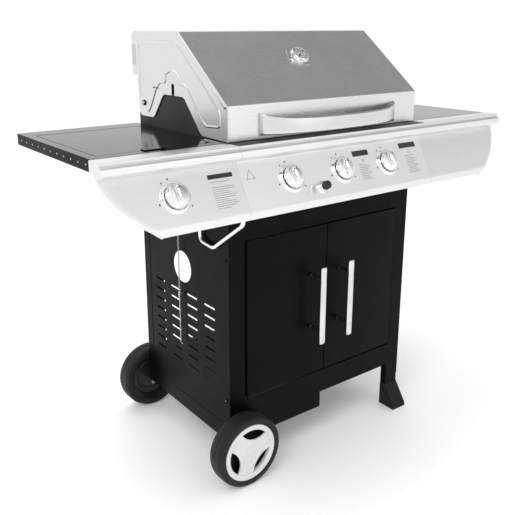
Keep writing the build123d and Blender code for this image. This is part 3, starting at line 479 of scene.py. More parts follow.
for cad_node, edge in ROUNDED_NODES.items():
    from_cad(cad_node, edge)
for cad_node in BLACK_NODES:
    give(cad_node, "black_enamel")
for cad_node in GLOSSY_TOPS:
    shelf_mesh = bpy.data.objects[cad_node + "_finished"].data
    shelf_mesh.materials.append(MATERIALS["shelf_enamel"])
    for polygon in shelf_mesh.polygons:
        polygon.material_index = 1 if polygon.normal.z > 0.9 else 0
for cad_node in KEPT_NODES:
    give(cad_node, SLOT_OF[cad_node])


def door_handle(label):
    """Crowned flat bar with rounded ends and a sleeve near its top, on two round standoffs."""
    node = f"{label}_door_handle"
    low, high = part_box(node)
    x = (low.x + high.x) / 2 / MM
    bottom, front = low.z / MM, low.y / MM - CART_FRONT
    length = high.z / MM - bottom
    sleeve = length - 41
    half_width, back_half, crown, edge_thick = 9.2, 8.4, 3.6, 2.4
    end = ((0, 0.55), (0.8, 0.80), (2.5, 0.94), (5, 1.0))      # (distance from the end, share of size)
    levels = list(end)
    levels += [(sleeve - 1.2, 1.0), (sleeve - 0.6, 0.93), (sleeve + 0.6, 0.93), (sleeve + 1.2, 1.0)]
    levels += [(length - distance, share) for distance, share in reversed(end)]
    bm = bmesh.new()
    rows = []
    for height, share in levels:
        row = []
        for k in range(13):
            angle = math.pi * k / 12
            across = half_width * share * math.copysign(abs(math.cos(angle)) ** 0.8, math.cos(angle))
            out = edge_thick + crown * share * math.sin(angle) ** 0.7
            row.append(bm.verts.new(spot(x + across, front + 6.4 - out, bottom + height)))
        for side in (-1, 1):
            row.append(bm.verts.new(spot(x + side * back_half * share, front + 6.0, bottom + height)))
        rows.append(row)
    join_rows(bm, rows)
    body = frame["nodes"][node]["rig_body"]
    piece(f"{label}_door_bar", bm, body, "polished_handle", (node,), sharp=45)
    bm = bmesh.new()
    reach = DOOR_FACE - front - 5.2
    profile = [(0, 0), (6.4, 0), (6.4, 1.2), (5.4, 2.4), (5, 4), (5, reach), (0, reach)]
    for height in DOOR_STANDOFFS:
        base = plane((x, DOOR_FACE - 0.1, height), (1, 0, 0), (0, -1, 0))
        add_lathe(bm, profile, base, 32, closed=False)
    piece(f"{label}_door_standoffs", bm, body, "black_plastic", sharp=45)


door_handle("left")
door_handle("right")


# ---------------------------------------------------------------- front panel

# The panel's section from its back flange, over the top and the bullnose, to its lowest edge.
FASCIA_BENDS = [
    (3, 806), (3, PANEL_TOP), (-44, PANEL_TOP), (-44, 828.6), (-41.5, 826), (-44, 823.5),
    (-50, 821), (-51, 806), (-42, 802), (-30, 797.5), TOP_FACE, CREASE, (CREASE[0], LIP_Z),
]
FASCIA_RADII = [1.5, 1.2, 0.8, 1.2, 1.0, 6, 6, 5, 6, 3, 2.5]
SEAM_GAP = 0.3          # half the gap at a seam
FLANGE_RADIUS = 3       # the bend round the end panel's curved edge


def up_face(y, z):
    """How far up the slanted face a point of the panel is, measured from the crease."""
    return (y - CREASE[0]) * math.sin(FASCIA_TILT) + (z - CREASE[1]) * math.cos(FASCIA_TILT)


def panel_end(y, z):
    """The panel's half length: straight at the bullnose, and curved inwards lower down."""
    if z > TOP_FACE[1] - 1:
        return FASCIA_END
    drop = (115 - up_face(y, z)) / 131      # 0 at the top of the face, 1 at the lowest edge
    drop = min(max(drop, 0), 1)
    return FASCIA_END - 114 * (0.30 * drop + 0.70 * drop ** 2.3)


def panel_rows(side):
    """Rows of an end panel: along the sheet, then turned in round its curved end."""
    across = Vector((0, math.cos(FASCIA_TILT), -math.sin(FASCIA_TILT)))
    path = rounded(FASCIA_BENDS[:-2], FASCIA_RADII[:9], 5)
    crease = rounded(FASCIA_BENDS[-3:], 2.5, 4)
    for i in range(1, 14):
        path.append(Vector(TOP_FACE).lerp(Vector(crease[1]), i / 14))
    path += crease[1:-1]
    path += [Vector(crease[-2]).lerp(Vector(crease[-1]), share) for share in (0.4, 0.8, 1)]
    rows = []
    start = SEAM_X + SEAM_GAP
    for y, z in path:
        end = panel_end(y, z)
        bend = end - FLANGE_RADIUS
        row = [spot(side * (start + (bend - start) * k / 24), y, z) for k in range(25)]
        if z < TOP_FACE[1]:
            for k in range(1, 5):
                angle = math.pi / 2 * k / 4
                inward = across * ((FLANGE_RADIUS - FLANGE_RADIUS * math.cos(angle)) * MM)
                row.append(spot(side * (bend + FLANGE_RADIUS * math.sin(angle)), y, z) + inward)
            row.append(spot(side * end, y, z) + across * (11 * MM))
        else:
            row += [spot(side * (bend + 0.6 * k), y, z) for k in range(1, 6)]
        rows.append(row)
    return rows


def end_panel(name, side, node):
    """An end piece of the front panel, with its curved flange and the bullnose's cap."""
    bm = bmesh.new()
    add_sheet(bm, panel_rows(side), SHEET)
    cap = [(1.5, 806.5)] + [tuple(p) for p in rounded(FASCIA_BENDS[1:-2], FASCIA_RADII[1:9], 4)]
    outline = [(y + 0.9 if y < -20 else y, z - 0.9 if z > 830 else z) for y, z in cap] + [(-16, 806.5)]
    side_plane = plane((side * (FASCIA_END - 1.4), 0, 0), (0, 1, 0), (1, 0, 0))
    low, high = sorted((0, side * SHEET))
    add_prism(bm, outline, low, high, side_plane)
    return piece(name, bm, "root", "silver_panel", (node,))


def centre_panel():
    """The middle piece of the front panel."""
    bm = bmesh.new()
    path = rounded(FASCIA_BENDS, FASCIA_RADII, 5)
    path[0] = Vector((3, 800))
    edge = SEAM_X - SEAM_GAP
    rows = [[spot(-edge + 2 * edge * k / 40, y, z) for k in range(41)] for y, z in path]
    add_sheet(bm, rows, SHEET)
    return piece("centre_panel", bm, "root", "silver_panel", ("centre_fascia",))


def firebox_lip_and_shade():
    """A black strip on the panel's top face under the hood's front edge: partly the firebox's black
    lip, partly painted shade under the hood's front edge.
    """
    bm = bmesh.new()
    # black as the firebox's lip, and as painted shade where the hood's front edge shades the panel's
    # top
    add_box(bm, (-299.5, -40.5, PANEL_TOP + 0.05), (299.5, 2.5, PANEL_TOP + 0.8), WORLD)
    piece("firebox_lip_and_shade", bm, "root", "black_enamel", bevel=0.3)


firebox_lip_and_shade()
end_panel("left_panel", -1, "left_fascia")
end_panel("right_panel", 1, "right_fascia")
centre_panel()


def ink_piece(name, shapes, material):
    """Printed shapes on the slanted face: tuples of (x0, x1, up0, up1), or closed outlines."""
    bm = bmesh.new()
    low, high = 0.02, 0.14
    for shape in shapes:
        if isinstance(shape, tuple):
            add_box(bm, (shape[0], shape[2], low), (shape[1], shape[3], high), FACE)
        else:
            add_prism(bm, shape, low, high, FACE)
    return piece(name, bm, "root", "black_plastic", material=material)


def text_rows(x_low, x_high, top, bottom, pitch, seed):
    """Bars that stand for lines of small print, with uneven ends."""
    rows = []
    line_height = 1.3
    for i in range(int((top - bottom) / pitch)):
        up = top - pitch * i
        share = 0.55 + 0.45 * abs(math.sin(seed + 2.3 * i))
        rows.append((x_low, x_low + (x_high - x_low) * share, up - line_height, up))
    return rows


def triangle(x, up, size, thick):
    """An outline triangle as three bars."""
    rise = size * 0.43
    corners = [Vector((x - size / 2, up - rise)), Vector((x + size / 2, up - rise)),
               Vector((x, up + rise))]
    bars = []
    centre = (corners[0] + corners[1] + corners[2]) / 3
    for a, b in zip(corners, corners[1:] + corners[:1]):
        inner_a = a + (centre - a).normalized() * thick * 2
        inner_b = b + (centre - b).normalized() * thick * 2
        bars.append([tuple(a), tuple(b), tuple(inner_b), tuple(inner_a)])
    return bars


TITLES = [(-378, -315, 86, 96), (44, 98, 87, 101), (212, 274, 90, 104)]
LINES = (text_rows(-374, -322, 80, 76, 4, 1) + text_rows(-374, -316, 68, 16, 4.6, 2)
         + text_rows(56, 92, 66, 20, 4.2, 3) + text_rows(224, 266, 70, 16, 4.2, 4))
TRIANGLES = triangle(-270, 84, 26, 1.4) + triangle(74, 76, 11, 0.9) + triangle(243, 80, 11, 0.9)
SPARK = [(-122, 14), (-111, 24), (-115, 26), (-104, 42), (-119, 27), (-114, 25)]
ink_piece("label_titles", TITLES, PRINT_AND_SHADE_INK)
ink_piece("label_lines", LINES, GREY_INK)
ink_piece("label_triangles", TRIANGLES, GREY_INK)
ink_piece("spark_icon", [SPARK], WHITE_INK)


# ---------------------------------------------------------------- knobs and igniter

BEZEL_PROFILE = [(35, 0.0), (35, 0.8), (34.4, 1.5), (33.2, 2.2), (31.0, 5.2), (29.8, 6.0),
                 (28.6, 6.0), (27.8, 5.2), (27.6, 1.3), (7, 1.2), (7, 0)]
KNOB_PROFILE = [(4.2, 4.6), (24.6, 4.6), (25.6, 5.2), (26, 6.2), (26, 11), (25.6, 12.2), (24.6, 13.2)]
BARREL_PROFILE = [(10.4, 0), (15.5, 0), (15.2, 1.2), (13.6, 2.6), (12.4, 6), (12.0, 12), (11.6, 13),
                  (10.7, 13.2), (10.4, 12.6)]
MARKS = ((125, 1.6), (100, 1.8), (195, 2.0), (-35, 1.6))      # angle and size of each mark
MARK_REACH = 40.0
EIGHTHS = [k * math.pi / 4 for k in range(8)]


def knob_marks():
    """Small printed marks round each knob: off, high and low."""
    shapes = []
    for x in KNOBS:
        for angle, size in MARKS:
            a = math.radians(angle)
            across, up = x + MARK_REACH * math.cos(a), KNOB_UP + MARK_REACH * math.sin(a)
            mark = [(across + size * math.cos(b), up + size * 1.3 * math.sin(b)) for b in EIGHTHS]
            shapes.append(mark)
    ink_piece("knob_marks", shapes, PRINT_AND_SHADE_INK)


def bezel_and_knob(number, x):
    """A polished cone bezel, and a domed knob with a curved grip blade."""
    place = FACE @ Matrix.Translation((x, KNOB_UP, 0))
    bm = bmesh.new()
    add_lathe(bm, BEZEL_PROFILE, place, 96)
    piece(f"bezel_{number}", bm, "root", "chrome", ("knob_bezels",) if number == 1 else ())
    bm = bmesh.new()
    profile = list(KNOB_PROFILE)
    for k in range(1, 9):
        angle = math.pi / 2 * k / 8
        profile.append((24.6 * math.cos(angle) if k < 8 else 0, 13.2 + 4.8 * math.sin(angle)))
    add_lathe(bm, profile + [(0, 17.0), (4.2, 16.0)], place, 96)
    blade = []
    foot, steps = 12.0, 20
    for i in range(steps + 1):
        share = i / steps * 2 - 1
        height = 14.0 + 13.5 * math.sqrt(max(0.0, 1 - abs(share) ** 3.0))
        half = 2.2 + 3.6 * math.sqrt(max(0.0, 1 - share ** 2))
        row = []
        for k in range(13):
            angle = math.pi * k / 12
            flare = half * (1 + 0.5 * (1 - math.sin(angle)))
            rise = foot + (height - foot) * math.sin(angle) ** 0.55
            row.append(bm.verts.new(place @ Vector((flare * math.cos(angle), 23.5 * share, rise))))
        blade.append(row)
    join_rows(bm, blade)
    piece(f"knob_{number}_plated", bm, f"knob_{number}", "knob_plating", (f"knob_{number}",), sharp=50)
    bm = bmesh.new()
    add_box(bm, (-0.7, 12, 26.9), (0.7, 20, 27.35), place)
    piece(f"knob_{number}_pointer", bm, f"knob_{number}", "black_plastic", material=PRINT_AND_SHADE_INK)


def igniter():
    """Flared chrome barrel round a black push button with a domed end."""
    place = FACE @ Matrix.Translation((*IGNITER, 0))
    bm = bmesh.new()
    add_lathe(bm, BARREL_PROFILE, place, 64)
    piece("igniter_barrel", bm, "root", "chrome")
    bm = bmesh.new()
    profile = [(0, -20), (9.9, -20), (9.9, 18)]
    profile += [(6 + 3.9 * math.cos(a), 22 + 3.4 * math.sin(a)) for a in (0, 0.4, 0.8, 1.2)]
    add_lathe(bm, profile + [(4.5, 25.8), (0, 26)], place, 64, closed=False)
    piece("igniter_push_button", bm, "igniter", "black_plastic", ("igniter_button",), sharp=40)


knob_marks()
igniter()
for knob_number, knob_x in enumerate(KNOBS, start=1):
    bezel_and_knob(knob_number, knob_x)


# ---------------------------------------------------------------- hood

def side_profile():
    """The hood's section from its front rim, over the top, to the back rim."""
    corners = [(HOOD_FRONT, HOOD_RIM_Z), (HOOD_FRONT, HOOD_BEND_Z), HOOD_CREST,
               (HOOD_BACK, HOOD_CREST[1]), (HOOD_BACK, HOOD_BACK_Z)]
    return rounded(corners, [5, 9, 18], 8)


def hood_sheet():
    """The hood's long skin, with a rim turned in along its front edge."""
    bm = bmesh.new()
    rows = [[spot(-300 + 15 * k, y, z) for k in range(41)] for y, z in side_profile()]
    add_sheet(bm, rows, SHEET)
    low, high = HOOD_RIM_Z + 0.3, HOOD_RIM_Z + 0.3 + SHEET
    front, back = HOOD_FRONT + 0.2, HOOD_FRONT + 9
    rim = [(front, low), (back, low), (back, high), (front, high)]
    add_prism(bm, rim, -299.6, 299.6, plane((0, 0, 0), (0, 1, 0), (1, 0, 0)))
    return piece("hood_sheet", bm, "hood", "brushed_steel", ("hood_skin",))


# The lower edge of an end plate from front to back, with its slot for the spit.
END_NOTCH = [(98, 836), (106, 841), (171, 913), (180, 916.5), (215.8, 916.5), (215.8, 939),
             (217.6, 943.2), (222, 945), (226.4, 943.2), (228.2, 939), (228.2, 916.5),
             (262, 916.5), (272, 911), (314, 860), (324, 855), (380, 855), (390.5, 862),
             (397, HOOD_BACK_Z)]
PLATE = 1.4             # thickness of the end plates


def hood_end(side, name):
    """An end plate: the section filled in, cut away over the spit holder, and its black catch."""
    outline = [tuple(p) for p in side_profile()][::-1] + END_NOTCH
    bm = bmesh.new()
    place = plane((side * (HOOD_HALF - PLATE), 0, 0), (0, 1, 0), (1, 0, 0))
    low, high = sorted((0, side * PLATE))
    add_prism(bm, outline, low, high, place)
    replaced = ("hood_end_caps",) if side < 0 else ()
    piece(name, bm, "hood", "brushed_steel", replaced, sharp=25, bevel=0.5)
    bm = bmesh.new()
    inner = plane((side * (HOOD_HALF - 3.4), 0, 0), (0, 1, 0), (1, 0, 0))
    add_box(bm, (206, 918.5, -0.6), (238, 951, 0.6), inner)
    low, high = sorted((side * 1.2, side * 3.5))
    add_box(bm, (290, 928.4, low), (318, 931.6, high), inner)
    piece(name + "_catch", bm, "hood", "black_enamel", bevel=0.3)


def inset(path, distance):
    """A path of 2-D points moved to its right by a distance."""
    moved = []
    for i, point in enumerate(path):
        run = (path[min(i + 1, len(path) - 1)] - path[max(i - 1, 0)]).normalized()
        moved.append(point + Vector((run.y, -run.x)) * distance)
    return moved


def hood_band(side, name):
    """The skin's edge, folded over the end plate along the front, the slope and the top."""
    path = [p for p in side_profile() if p.y > HOOD_RIM_Z + 2]
    path = [p for p in path if p.x <= HOOD_BACK - 1 or p.y >= 1046]
    fold = ((0.0, 0.0), (0.03, 0.7), (0.12, 1.1), (0.88, 1.1), (0.97, 0.7), (1.0, 0.0))
    bm = bmesh.new()
    rows = []
    for outer_point, inner_point in zip(path, inset(path, 12.5)):
        row = []
        for share, rise in fold:
            point = outer_point.lerp(inner_point, share)
            row.append(bm.verts.new(spot(side * (HOOD_HALF - 0.1 + rise), point.x, point.y)))
        rows.append(row)
    join_rows(bm, rows)
    return piece(name, bm, "hood", "brushed_steel", sharp=40)


def back_field():
    """The field pressed out of the hood's back, and the clip strip at each end of it."""
    bm = bmesh.new()
    add_box(bm, (-291, 418.6, 979), (291, 427, 1034), WORLD)
    for side in (-1, 1):
        x_low, x_high = sorted((side * (HOOD_HALF - 0.2), side * (HOOD_HALF + 1.6)))
        add_box(bm, (x_low, 404, 980), (x_high, 408, 1033), WORLD)
        add_box(bm, (x_low, 414, 980), (x_high, 420, 1033), WORLD)
    return piece("hood_back_field", bm, "hood", "brushed_steel", bevel=1.5)


# The line pressed into an end plate, and the radius of each of its inner corners.
PRESSING = [(345, 868), (330, 884), (300, 932), (280, 945), (257, 946), (254, 966), (226, 977),
            (198, 966), (195, 946), (172, 945), (158, 936), (95, 868), (80, 860), (28, 863),
            (25, 895), (203, 1040), (372, 1041), (388, 1030), (386, 900)]
PRESSING_RADII = [8, 10, 12, 6, 5, 24, 5, 6, 12, 16, 10, 6, 8, 20, 10, 10, 10]


def pressed_line(side, name, lift=1.9, half_width=3.2):
    """The pressed step in the hood's end, as a low rounded bead."""
    path = rounded(PRESSING, PRESSING_RADII, 6)
    bm = bmesh.new()
    rows = []
    last = len(path) - 1
    for i, point in enumerate(path):
        run = (path[min(i + 1, last)] - path[max(i - 1, 0)]).normalized()
        across = Vector((-run.y, run.x))
        row = []
        for k in range(7):
            angle = math.pi * k / 6
            offset = point + across * (half_width * math.cos(angle))
            x = side * (HOOD_HALF - 0.05 + lift * math.sin(angle))
            row.append(bm.verts.new(spot(x, offset.x, offset.y)))
        rows.append(row)
    join_rows(bm, rows)
    return piece(name, bm, "hood", "brushed_steel", sharp=60)


hood_sheet()
back_field()
for hand, label in ((-1, "left"), (1, "right")):
    hood_end(hand, f"hood_{label}_end")
    hood_band(hand, f"hood_{label}_band")
    pressed_line(hand, f"hood_{label}_pressing")


def bow_handle():
    """Bowed polished strip that sweeps back to the hood and grows taller at each end."""
    bm = bmesh.new()
    section = rounded([(5, 0), (0, 2.5), (0, 32.5), (5, 35)], [5, 5], 5)
    half, middle, ends = 217.0, -60.0, HOOD_FRONT - 0.4      # half length, and y of the middle and ends
    rows = []
    for k in range(121):
        angle = math.pi * (k / 120 - 0.5)
        share = math.copysign(abs(math.sin(angle)) ** 0.9, angle)
        out = max(0.0, 1 - abs(share) ** 2.2) ** 0.52
        flare = (1 - out) ** 1.6
        low, high = 845 - 4 * flare, 880 + 12 * flare
        y = ends + (middle - ends) * out
        row = []
        for depth, height in section:
            row.append(spot(half * share, y + depth * out, low + (high - low) * height / 35))
        rows.append(row)
    add_sheet(bm, rows, 2.2)
    return piece("bow_handle", bm, "hood", "polished_handle", ("hood_handle",), bevel=0.6)


bow_handle()


GAUGE_PROFILE = [(3, 0), (34.2, 0), (35, 0.5), (34.6, 1.1), (26.5, 1.3), (24.6, 1.8), (23.8, 3),
                 (23.6, 8), (23.0, 9.4), (22.2, 10), (21.4, 9.8), (21.05, 9.2), (21.05, 2.0), (3, 2.0)]
DIAL_PROFILE = [(0, 2.05), (20.9, 2.05), (20.9, 2.3), (0, 2.3)]
PROBE_PROFILE = [(0, -45), (2.4, -44), (3, -42), (3, -1.5), (7, -1.5), (7, -4.5), (0, -4.5)]
NEEDLE_HUB = [(0.9, 2.6), (2.5, 2.6), (2.5, 4.6), (1.9, 5.0), (0.9, 5.0)]
NEEDLE_BLADE = [(-1.1, -5.5), (1.1, -5.5), (0.8, 6), (0.0, 16), (-0.8, 6)]
DIAL_START = 225        # the first tick, in degrees round the dial
NEEDLE_REST = 135       # where the needle stands at rest


def thermometer():
    """Flange and bezel, dial with ticks, needle, window and probe."""
    place = SLOPE @ Matrix.Translation((0, GAUGE_UP, 0))
    bm = bmesh.new()
    add_lathe(bm, GAUGE_PROFILE, place, 96)
    piece("thermometer_bezel", bm, "hood", "chrome", ("thermometer_case",))
    bm = bmesh.new()
    add_lathe(bm, DIAL_PROFILE, place, 72, closed=False)
    piece("thermometer_dial", bm, "hood", "clear_glass", material=DIAL)
    bm = bmesh.new()
    for i in range(28):
        tick = place @ Matrix.Rotation(math.radians(DIAL_START - 10 * i), 4, "Z")
        inner = 15.2 if i % 3 == 0 else 16.6
        add_box(bm, (inner, -0.3, 2.32), (18.6, 0.3, 2.42), tick)
    piece("thermometer_ticks", bm, "hood", "black_plastic", material=PRINT_AND_SHADE_INK)
    bm = bmesh.new()
    add_lathe(bm, NEEDLE_HUB, place, 32)
    turn = place @ Matrix.Rotation(math.radians(NEEDLE_REST), 4, "Z")
    add_prism(bm, NEEDLE_BLADE, 3.9, 4.5, turn)
    piece("needle", bm, "needle", "black_plastic", ("thermometer_needle",))
    give("thermometer_lens", "clear_glass")
    bm = bmesh.new()
    add_lathe(bm, PROBE_PROFILE, place, 24, closed=False)
    piece("thermometer_probe", bm, "hood", "chrome")


thermometer()


# ---------------------------------------------------------------- wheels

WHEEL_WIDTH = 49.0
# Half a tyre's section, from its outer bead to the middle of its tread, as (radius, depth).
TYRE_HALF = [(72, -2.2), (73.2, -0.8), (75, -0.3), (80.5, 0), (82.5, -0.2), (83.6, -1.2),
             (84.6, -0.9), (86.4, -1.3), (87.6, -3.0), (88.2, -5.2), (87.7, -6.0), (88.8, -6.9),
             (89.6, -9.5), (90, -14), (90, -22.3), (89.2, -22.9), (88.8, -23.6)]
RIM_PROFILE = [(72, -46), (72, -3), (69, -3), (67, -6), (66, -24), (16, -24), (14, -8.5),
               (5.2, -8.5), (5.2, -44), (13, -44), (14.5, -31), (40, -30.5), (42, -33), (45, -33),
               (47, -30.5), (58, -31), (60, -38), (64, -41), (67.5, -44), (70, -46)]
LENS_TURN = 76          # the first opening's direction, in degrees
LENS_CENTRE = 84.0      # how far out the centre of an opening's inner edge is
LENS_RADIUS = 51.0
LENS_OUTER = 58.8       # the openings end at the cap's outer ring


def wheel(name, face):
    """Tyre, rim and hub cap of a wheel, in local millimetres with +Z out of its outer face."""
    bm = bmesh.new()
    profile = TYRE_HALF + [(r, -WHEEL_WIDTH - depth) for r, depth in reversed(TYRE_HALF)]
    add_lathe(bm, profile, face, 120)
    piece(f"{name}_wheel_tyre", bm, f"{name}_wheel", "wheel_rubber", (f"{name}_tyre",), sharp=50)
    bm = bmesh.new()
    add_lathe(bm, RIM_PROFILE, face, 96)
    piece(f"{name}_wheel_rim", bm, f"{name}_wheel", "black_plastic", (f"{name}_rim",), sharp=35)
    hub_cap(name, face)


def lens_start(angle):
    """The radius at which an opening starts, or just past the ring's inner edge between them."""
    local = math.radians((math.degrees(angle) - LENS_TURN + 60) % 120 - 60)
    root = LENS_RADIUS ** 2 - (LENS_CENTRE * math.sin(local)) ** 2
    if root <= 0:
        return LENS_OUTER + 1.2
    return min(LENS_OUTER + 1.2, LENS_CENTRE * math.cos(local) - math.sqrt(root))


def hub_cap(name, face):
    """Silver cap: a flat outer ring and a low three-armed dome, with three lens openings."""
    ring_steps, arc_steps = 16, 180
    bm = bmesh.new()
    middle = bm.verts.new(face @ Vector((0, 0, -0.3)))
    grid = []
    for i in range(arc_steps):
        angle = 2 * math.pi * i / arc_steps
        reach = lens_start(angle)
        row = []
        for k in range(1, ring_steps + 1):
            r = reach * k / ring_steps
            depth = -0.3 - 2.7 * (r / 60.0) ** 2
            row.append(bm.verts.new(face @ Vector((r * math.cos(angle), r * math.sin(angle), depth))))
        grid.append(row)
    for a, b in zip(grid, grid[1:] + grid[:1]):
        bm.faces.new((middle, a[0], b[0]))
        for k in range(ring_steps - 1):
            bm.faces.new((a[k], a[k + 1], b[k + 1], b[k]))
    faces = list(bm.faces)
    bmesh.ops.recalc_face_normals(bm, faces=faces)
    bmesh.ops.solidify(bm, geom=faces, thickness=4.5 * MM)
    ring = [(0, -3.2), (0.3, -1.8), (1.2, -0.9), (2.6, -0.5), (11.6, -0.5), (12.7, -1.0),
            (13.0, -1.8), (13.0, -3.2), (2, -12), (0, -12)]
    add_lathe(bm, [(LENS_OUTER + out, depth) for out, depth in ring], face, arc_steps)
    piece(f"{name}_wheel_cap", bm, f"{name}_wheel", "silver_plastic", (f"{name}_hubcap",), sharp=40)


front_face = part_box("front_tyre")[0].y / MM - CART_FRONT
rear_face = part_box("rear_tyre")[1].y / MM - CART_FRONT
wheel("front", plane((WHEEL_X, front_face, WHEEL_Z), (1, 0, 0), (0, -1, 0)))
wheel("rear", plane((WHEEL_X, rear_face, WHEEL_Z), (-1, 0, 0), (0, 1, 0)))


# ---------------------------------------------------------------- small parts

def domes(name, places, radius, rise, slot, material=None):
    """Small domed heads on both sides of the cart, at places of (x, y, z) with x its right side's."""
    bm = bmesh.new()
    arc = [(radius * math.cos(a), rise * math.sin(a)) for a in (0, 0.4, 0.8, 1.2)]
    profile = [(0, -0.5), (radius, -0.5), *arc, (0, rise)]
    for side in (-1, 1):
        for x, y, z in places:
            add_lathe(bm, profile, plane((side * x, y, z), (0, 1, 0), (side, 0, 0)), 16, closed=False)
    return piece(name, bm, "root", slot, sharp=50, material=material)


RIVETS = [(615.9, 27 + 36 * i, 819) for i in range(11)]
# Places of the firebox's wall holes, drawn as flat dark discs: painted shade for the dark inside of
# each hole.
WALL_HOLES = [(298.4, 253, 887), (298.4, 241, 881), (298.4, 237.5, 870), (298.4, 206, 880),
              (298.4, 209, 870)]
domes("shelf_end_rivets", RIVETS, 2.3, 0.8, "chrome_wire")
domes("panel_screw_slots", [(302.1, 14, 201)], 1.6, 0.4, "chrome_wire")
domes("hood_pivot_ends", [(PIVOT_END_X, *HOOD_PIVOT)], 5.2, 1.4, "chrome_wire")
# flat dark discs standing for the holes: painted shade
domes("firebox_hole_shade_discs", WALL_HOLES, 1.9, 0.15, "firebox_enamel", PRINT_AND_SHADE_INK)


# ---------------------------------------------------------------- match holder

def match_holder():
    """Welded chain links, a ferrule and a rod, hanging from the hook."""
    bm = bmesh.new()
    x, y = MATCH_X, MATCH_Y
    eye = plane((x, y, MATCH_TOP), (0, 1, 0), (1, 0, 0))
    add_lathe(bm, [(1.6, -1.2), (3.6, -1.2), (3.6, 1.2), (1.6, 1.2)], eye, 24)
    first_link, link_pitch, link_count = MATCH_TOP - 6.5, 6.4, 32
    for i in range(link_count):
        centre = first_link - link_pitch * i
        points = []
        for k in range(16):
            angle = 2 * math.pi * k / 16
            across, along = 1.7 * math.cos(angle), 4.1 * math.sin(angle)
            offset = (across, 0) if i % 2 else (0, across)
            points.append(spot(x + offset[0], y + offset[1], centre + along))
        add_tube(bm, points, 0.75, 8, closed=True)
    ferrule = plane((x, y, 410), (1, 0, 0), (0, 0, 1))
    ferrule_profile = [(0, 0), (2.4, 0), (3.3, 1.5), (3.3, 16), (2.4, 18), (0, 18)]
    add_lathe(bm, ferrule_profile, ferrule, 24, closed=False)
    add_tube(bm, [spot(x, y, z) for z in (411, 345, 286)], 1.5, 16)
    for height, reach in ((424, 7), (283, 6)):
        bends = (0, 0.8, 1.6, 2.4)
        clip = [spot(x, y - reach * math.sin(a), height + 3 * math.cos(a)) for a in bends]
        add_tube(bm, clip, 0.9, 8)
    bead = plane((x, y - 7, 284), (1, 0, 0), (0, 0, 1))
    add_lathe(bm, [(0, -2.6), (1.8, -1.9), (2.6, 0), (1.8, 1.9), (0, 2.6)], bead, 16, closed=False)
    piece("match_chain", bm, "match_holder", "chrome_wire", ("match_holder",), sharp=50)


def towel_rail():
    """Bent round bar that hangs under the panel's left end, with its two clips."""
    bm = bmesh.new()
    x, bar = TOWEL_X, 5.0
    corners = [(109, 699), (106, 587), (51, 582), (-63, 661), (-70, 688)]
    path = rounded(corners, [16, 20, 24, 10], 8)
    add_tube(bm, [spot(x, p.x, p.y) for p in path], bar, 20)
    add_box(bm, (x, 98, 676), (-300, 120, 698), WORLD)
    add_box(bm, (x - 5, -78, 681), (x + 5, -68, 690), WORLD)
    piece("towel_bar", bm, "root", "chrome", ("towel_rail",), sharp=40)


match_holder()
towel_rail()


# ---------------------------------------------------------------- studio

FLOOR_HALF = 14.0           # metres
DARK_TOWARD = (0.65, 0, 0.76)
DARK_RANGE = (("From Min", 0.70), ("From Max", 0.96), ("To Min", 1.05), ("To Max", 0.315))
LIGHTS = (                  # name, place in metres, size in metres, power in watts
    ("key", (-2.6, -1.6, 3.0), 1.6, 40),
    ("fill", (1.2, -3.4, 1.4), 2.0, 4),
    ("top", (-0.6, 0.9, 3.4), 1.6, 20),
)
LIGHTS_AIM = Vector((0, 0, 0.6))
CAMERA_PLACE = (-1145.0, -1209.4, 1078.8)
CAMERA_DOWN, CAMERA_TURN = 15.511, -36.902      # degrees
CAMERA_LENS = 48.08
CAMERA_SHIFT = (0.0130, -0.0810)


def add_floor():
    """Pale floor with a little light of its own, so that it meets the white surroundings."""
    mesh = bpy.data.meshes.new("floor")
    bm = bmesh.new()
    bmesh.ops.create_grid(bm, x_segments=1, y_segments=1, size=FLOOR_HALF)
    bm.to_mesh(mesh)
    bm.free()
    floor = bpy.data.objects.new("floor", mesh)
    floor.location.z = -0.0005
    paint = bpy.data.materials.new("floor_paint")
    paint.use_nodes = True
    shader = paint.node_tree.nodes["Principled BSDF"]
    shader.inputs["Base Color"].default_value = (0.97, 0.97, 0.97, 1)
    shader.inputs["Roughness"].default_value = 0.6
    shader.inputs["Emission Color"].default_value = (1, 1, 1, 1)
    shader.inputs["Emission Strength"].default_value = 0.07
    mesh.materials.append(paint)
    bpy.context.scene.collection.objects.link(floor)


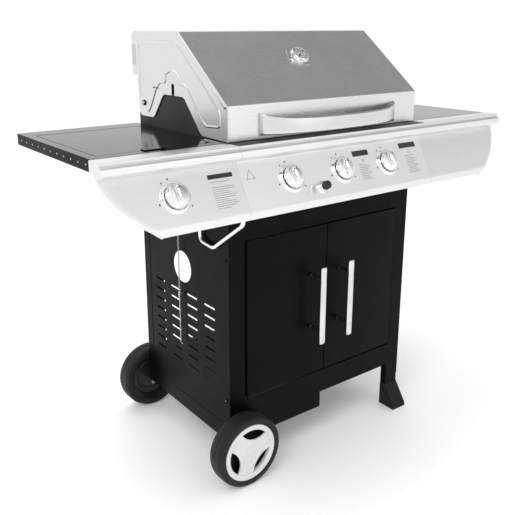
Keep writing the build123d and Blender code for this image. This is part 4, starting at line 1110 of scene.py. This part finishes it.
def add_world():
    """White surroundings, which reflections see darker high up on the left and the right."""
    world = bpy.data.worlds.new("studio")
    world.use_nodes = True
    tree = world.node_tree
    background = tree.nodes["Background"]
    coords = tree.nodes.new("ShaderNodeTexCoord")
    mirror = tree.nodes.new("ShaderNodeVectorMath")
    mirror.operation = "ABSOLUTE"
    toward = tree.nodes.new("ShaderNodeVectorMath")
    toward.operation = "DOT_PRODUCT"
    toward.inputs[1].default_value = DARK_TOWARD
    fade = tree.nodes.new("ShaderNodeMapRange")
    for key, value in DARK_RANGE:
        fade.inputs[key].default_value = value
    rays = tree.nodes.new("ShaderNodeLightPath")
    mix = tree.nodes.new("ShaderNodeMix")
    mix.inputs["A"].default_value = 1.0
    tree.links.new(coords.outputs["Generated"], mirror.inputs[0])
    tree.links.new(mirror.outputs["Vector"], toward.inputs[0])
    tree.links.new(toward.outputs["Value"], fade.inputs["Value"])
    tree.links.new(rays.outputs["Is Glossy Ray"], mix.inputs["Factor"])
    tree.links.new(fade.outputs["Result"], mix.inputs["B"])
    tree.links.new(mix.outputs["Result"], background.inputs["Strength"])
    background.inputs["Color"].default_value = (1, 1, 1, 1)
    bpy.context.scene.world = world
    bpy.context.scene.view_settings.view_transform = "Standard"


def add_lights():
    """Soft square lights, all turned to the middle of the cart."""
    for name, place, size, power in LIGHTS:
        lamp = bpy.data.lights.new(name, "AREA")
        lamp.energy = power
        lamp.size = size
        light = bpy.data.objects.new(name, lamp)
        light.location = place
        aim = LIGHTS_AIM - Vector(place)
        light.rotation_euler = aim.to_track_quat("-Z", "Y").to_euler()
        bpy.context.scene.collection.objects.link(light)


def add_camera():
    """The camera, at the photograph's angle."""
    camera_data = bpy.data.cameras.new("camera")
    camera_data.sensor_width = 36
    camera_data.lens = CAMERA_LENS
    camera_data.shift_x, camera_data.shift_y = CAMERA_SHIFT
    camera = bpy.data.objects.new("camera", camera_data)
    camera.location = spot(*CAMERA_PLACE)
    camera.rotation_euler = (math.radians(90 - CAMERA_DOWN), 0, math.radians(CAMERA_TURN))
    bpy.context.scene.collection.objects.link(camera)
    bpy.context.scene.camera = camera


add_floor()
add_world()
add_lights()
add_camera()
bpy.context.view_layer.update()
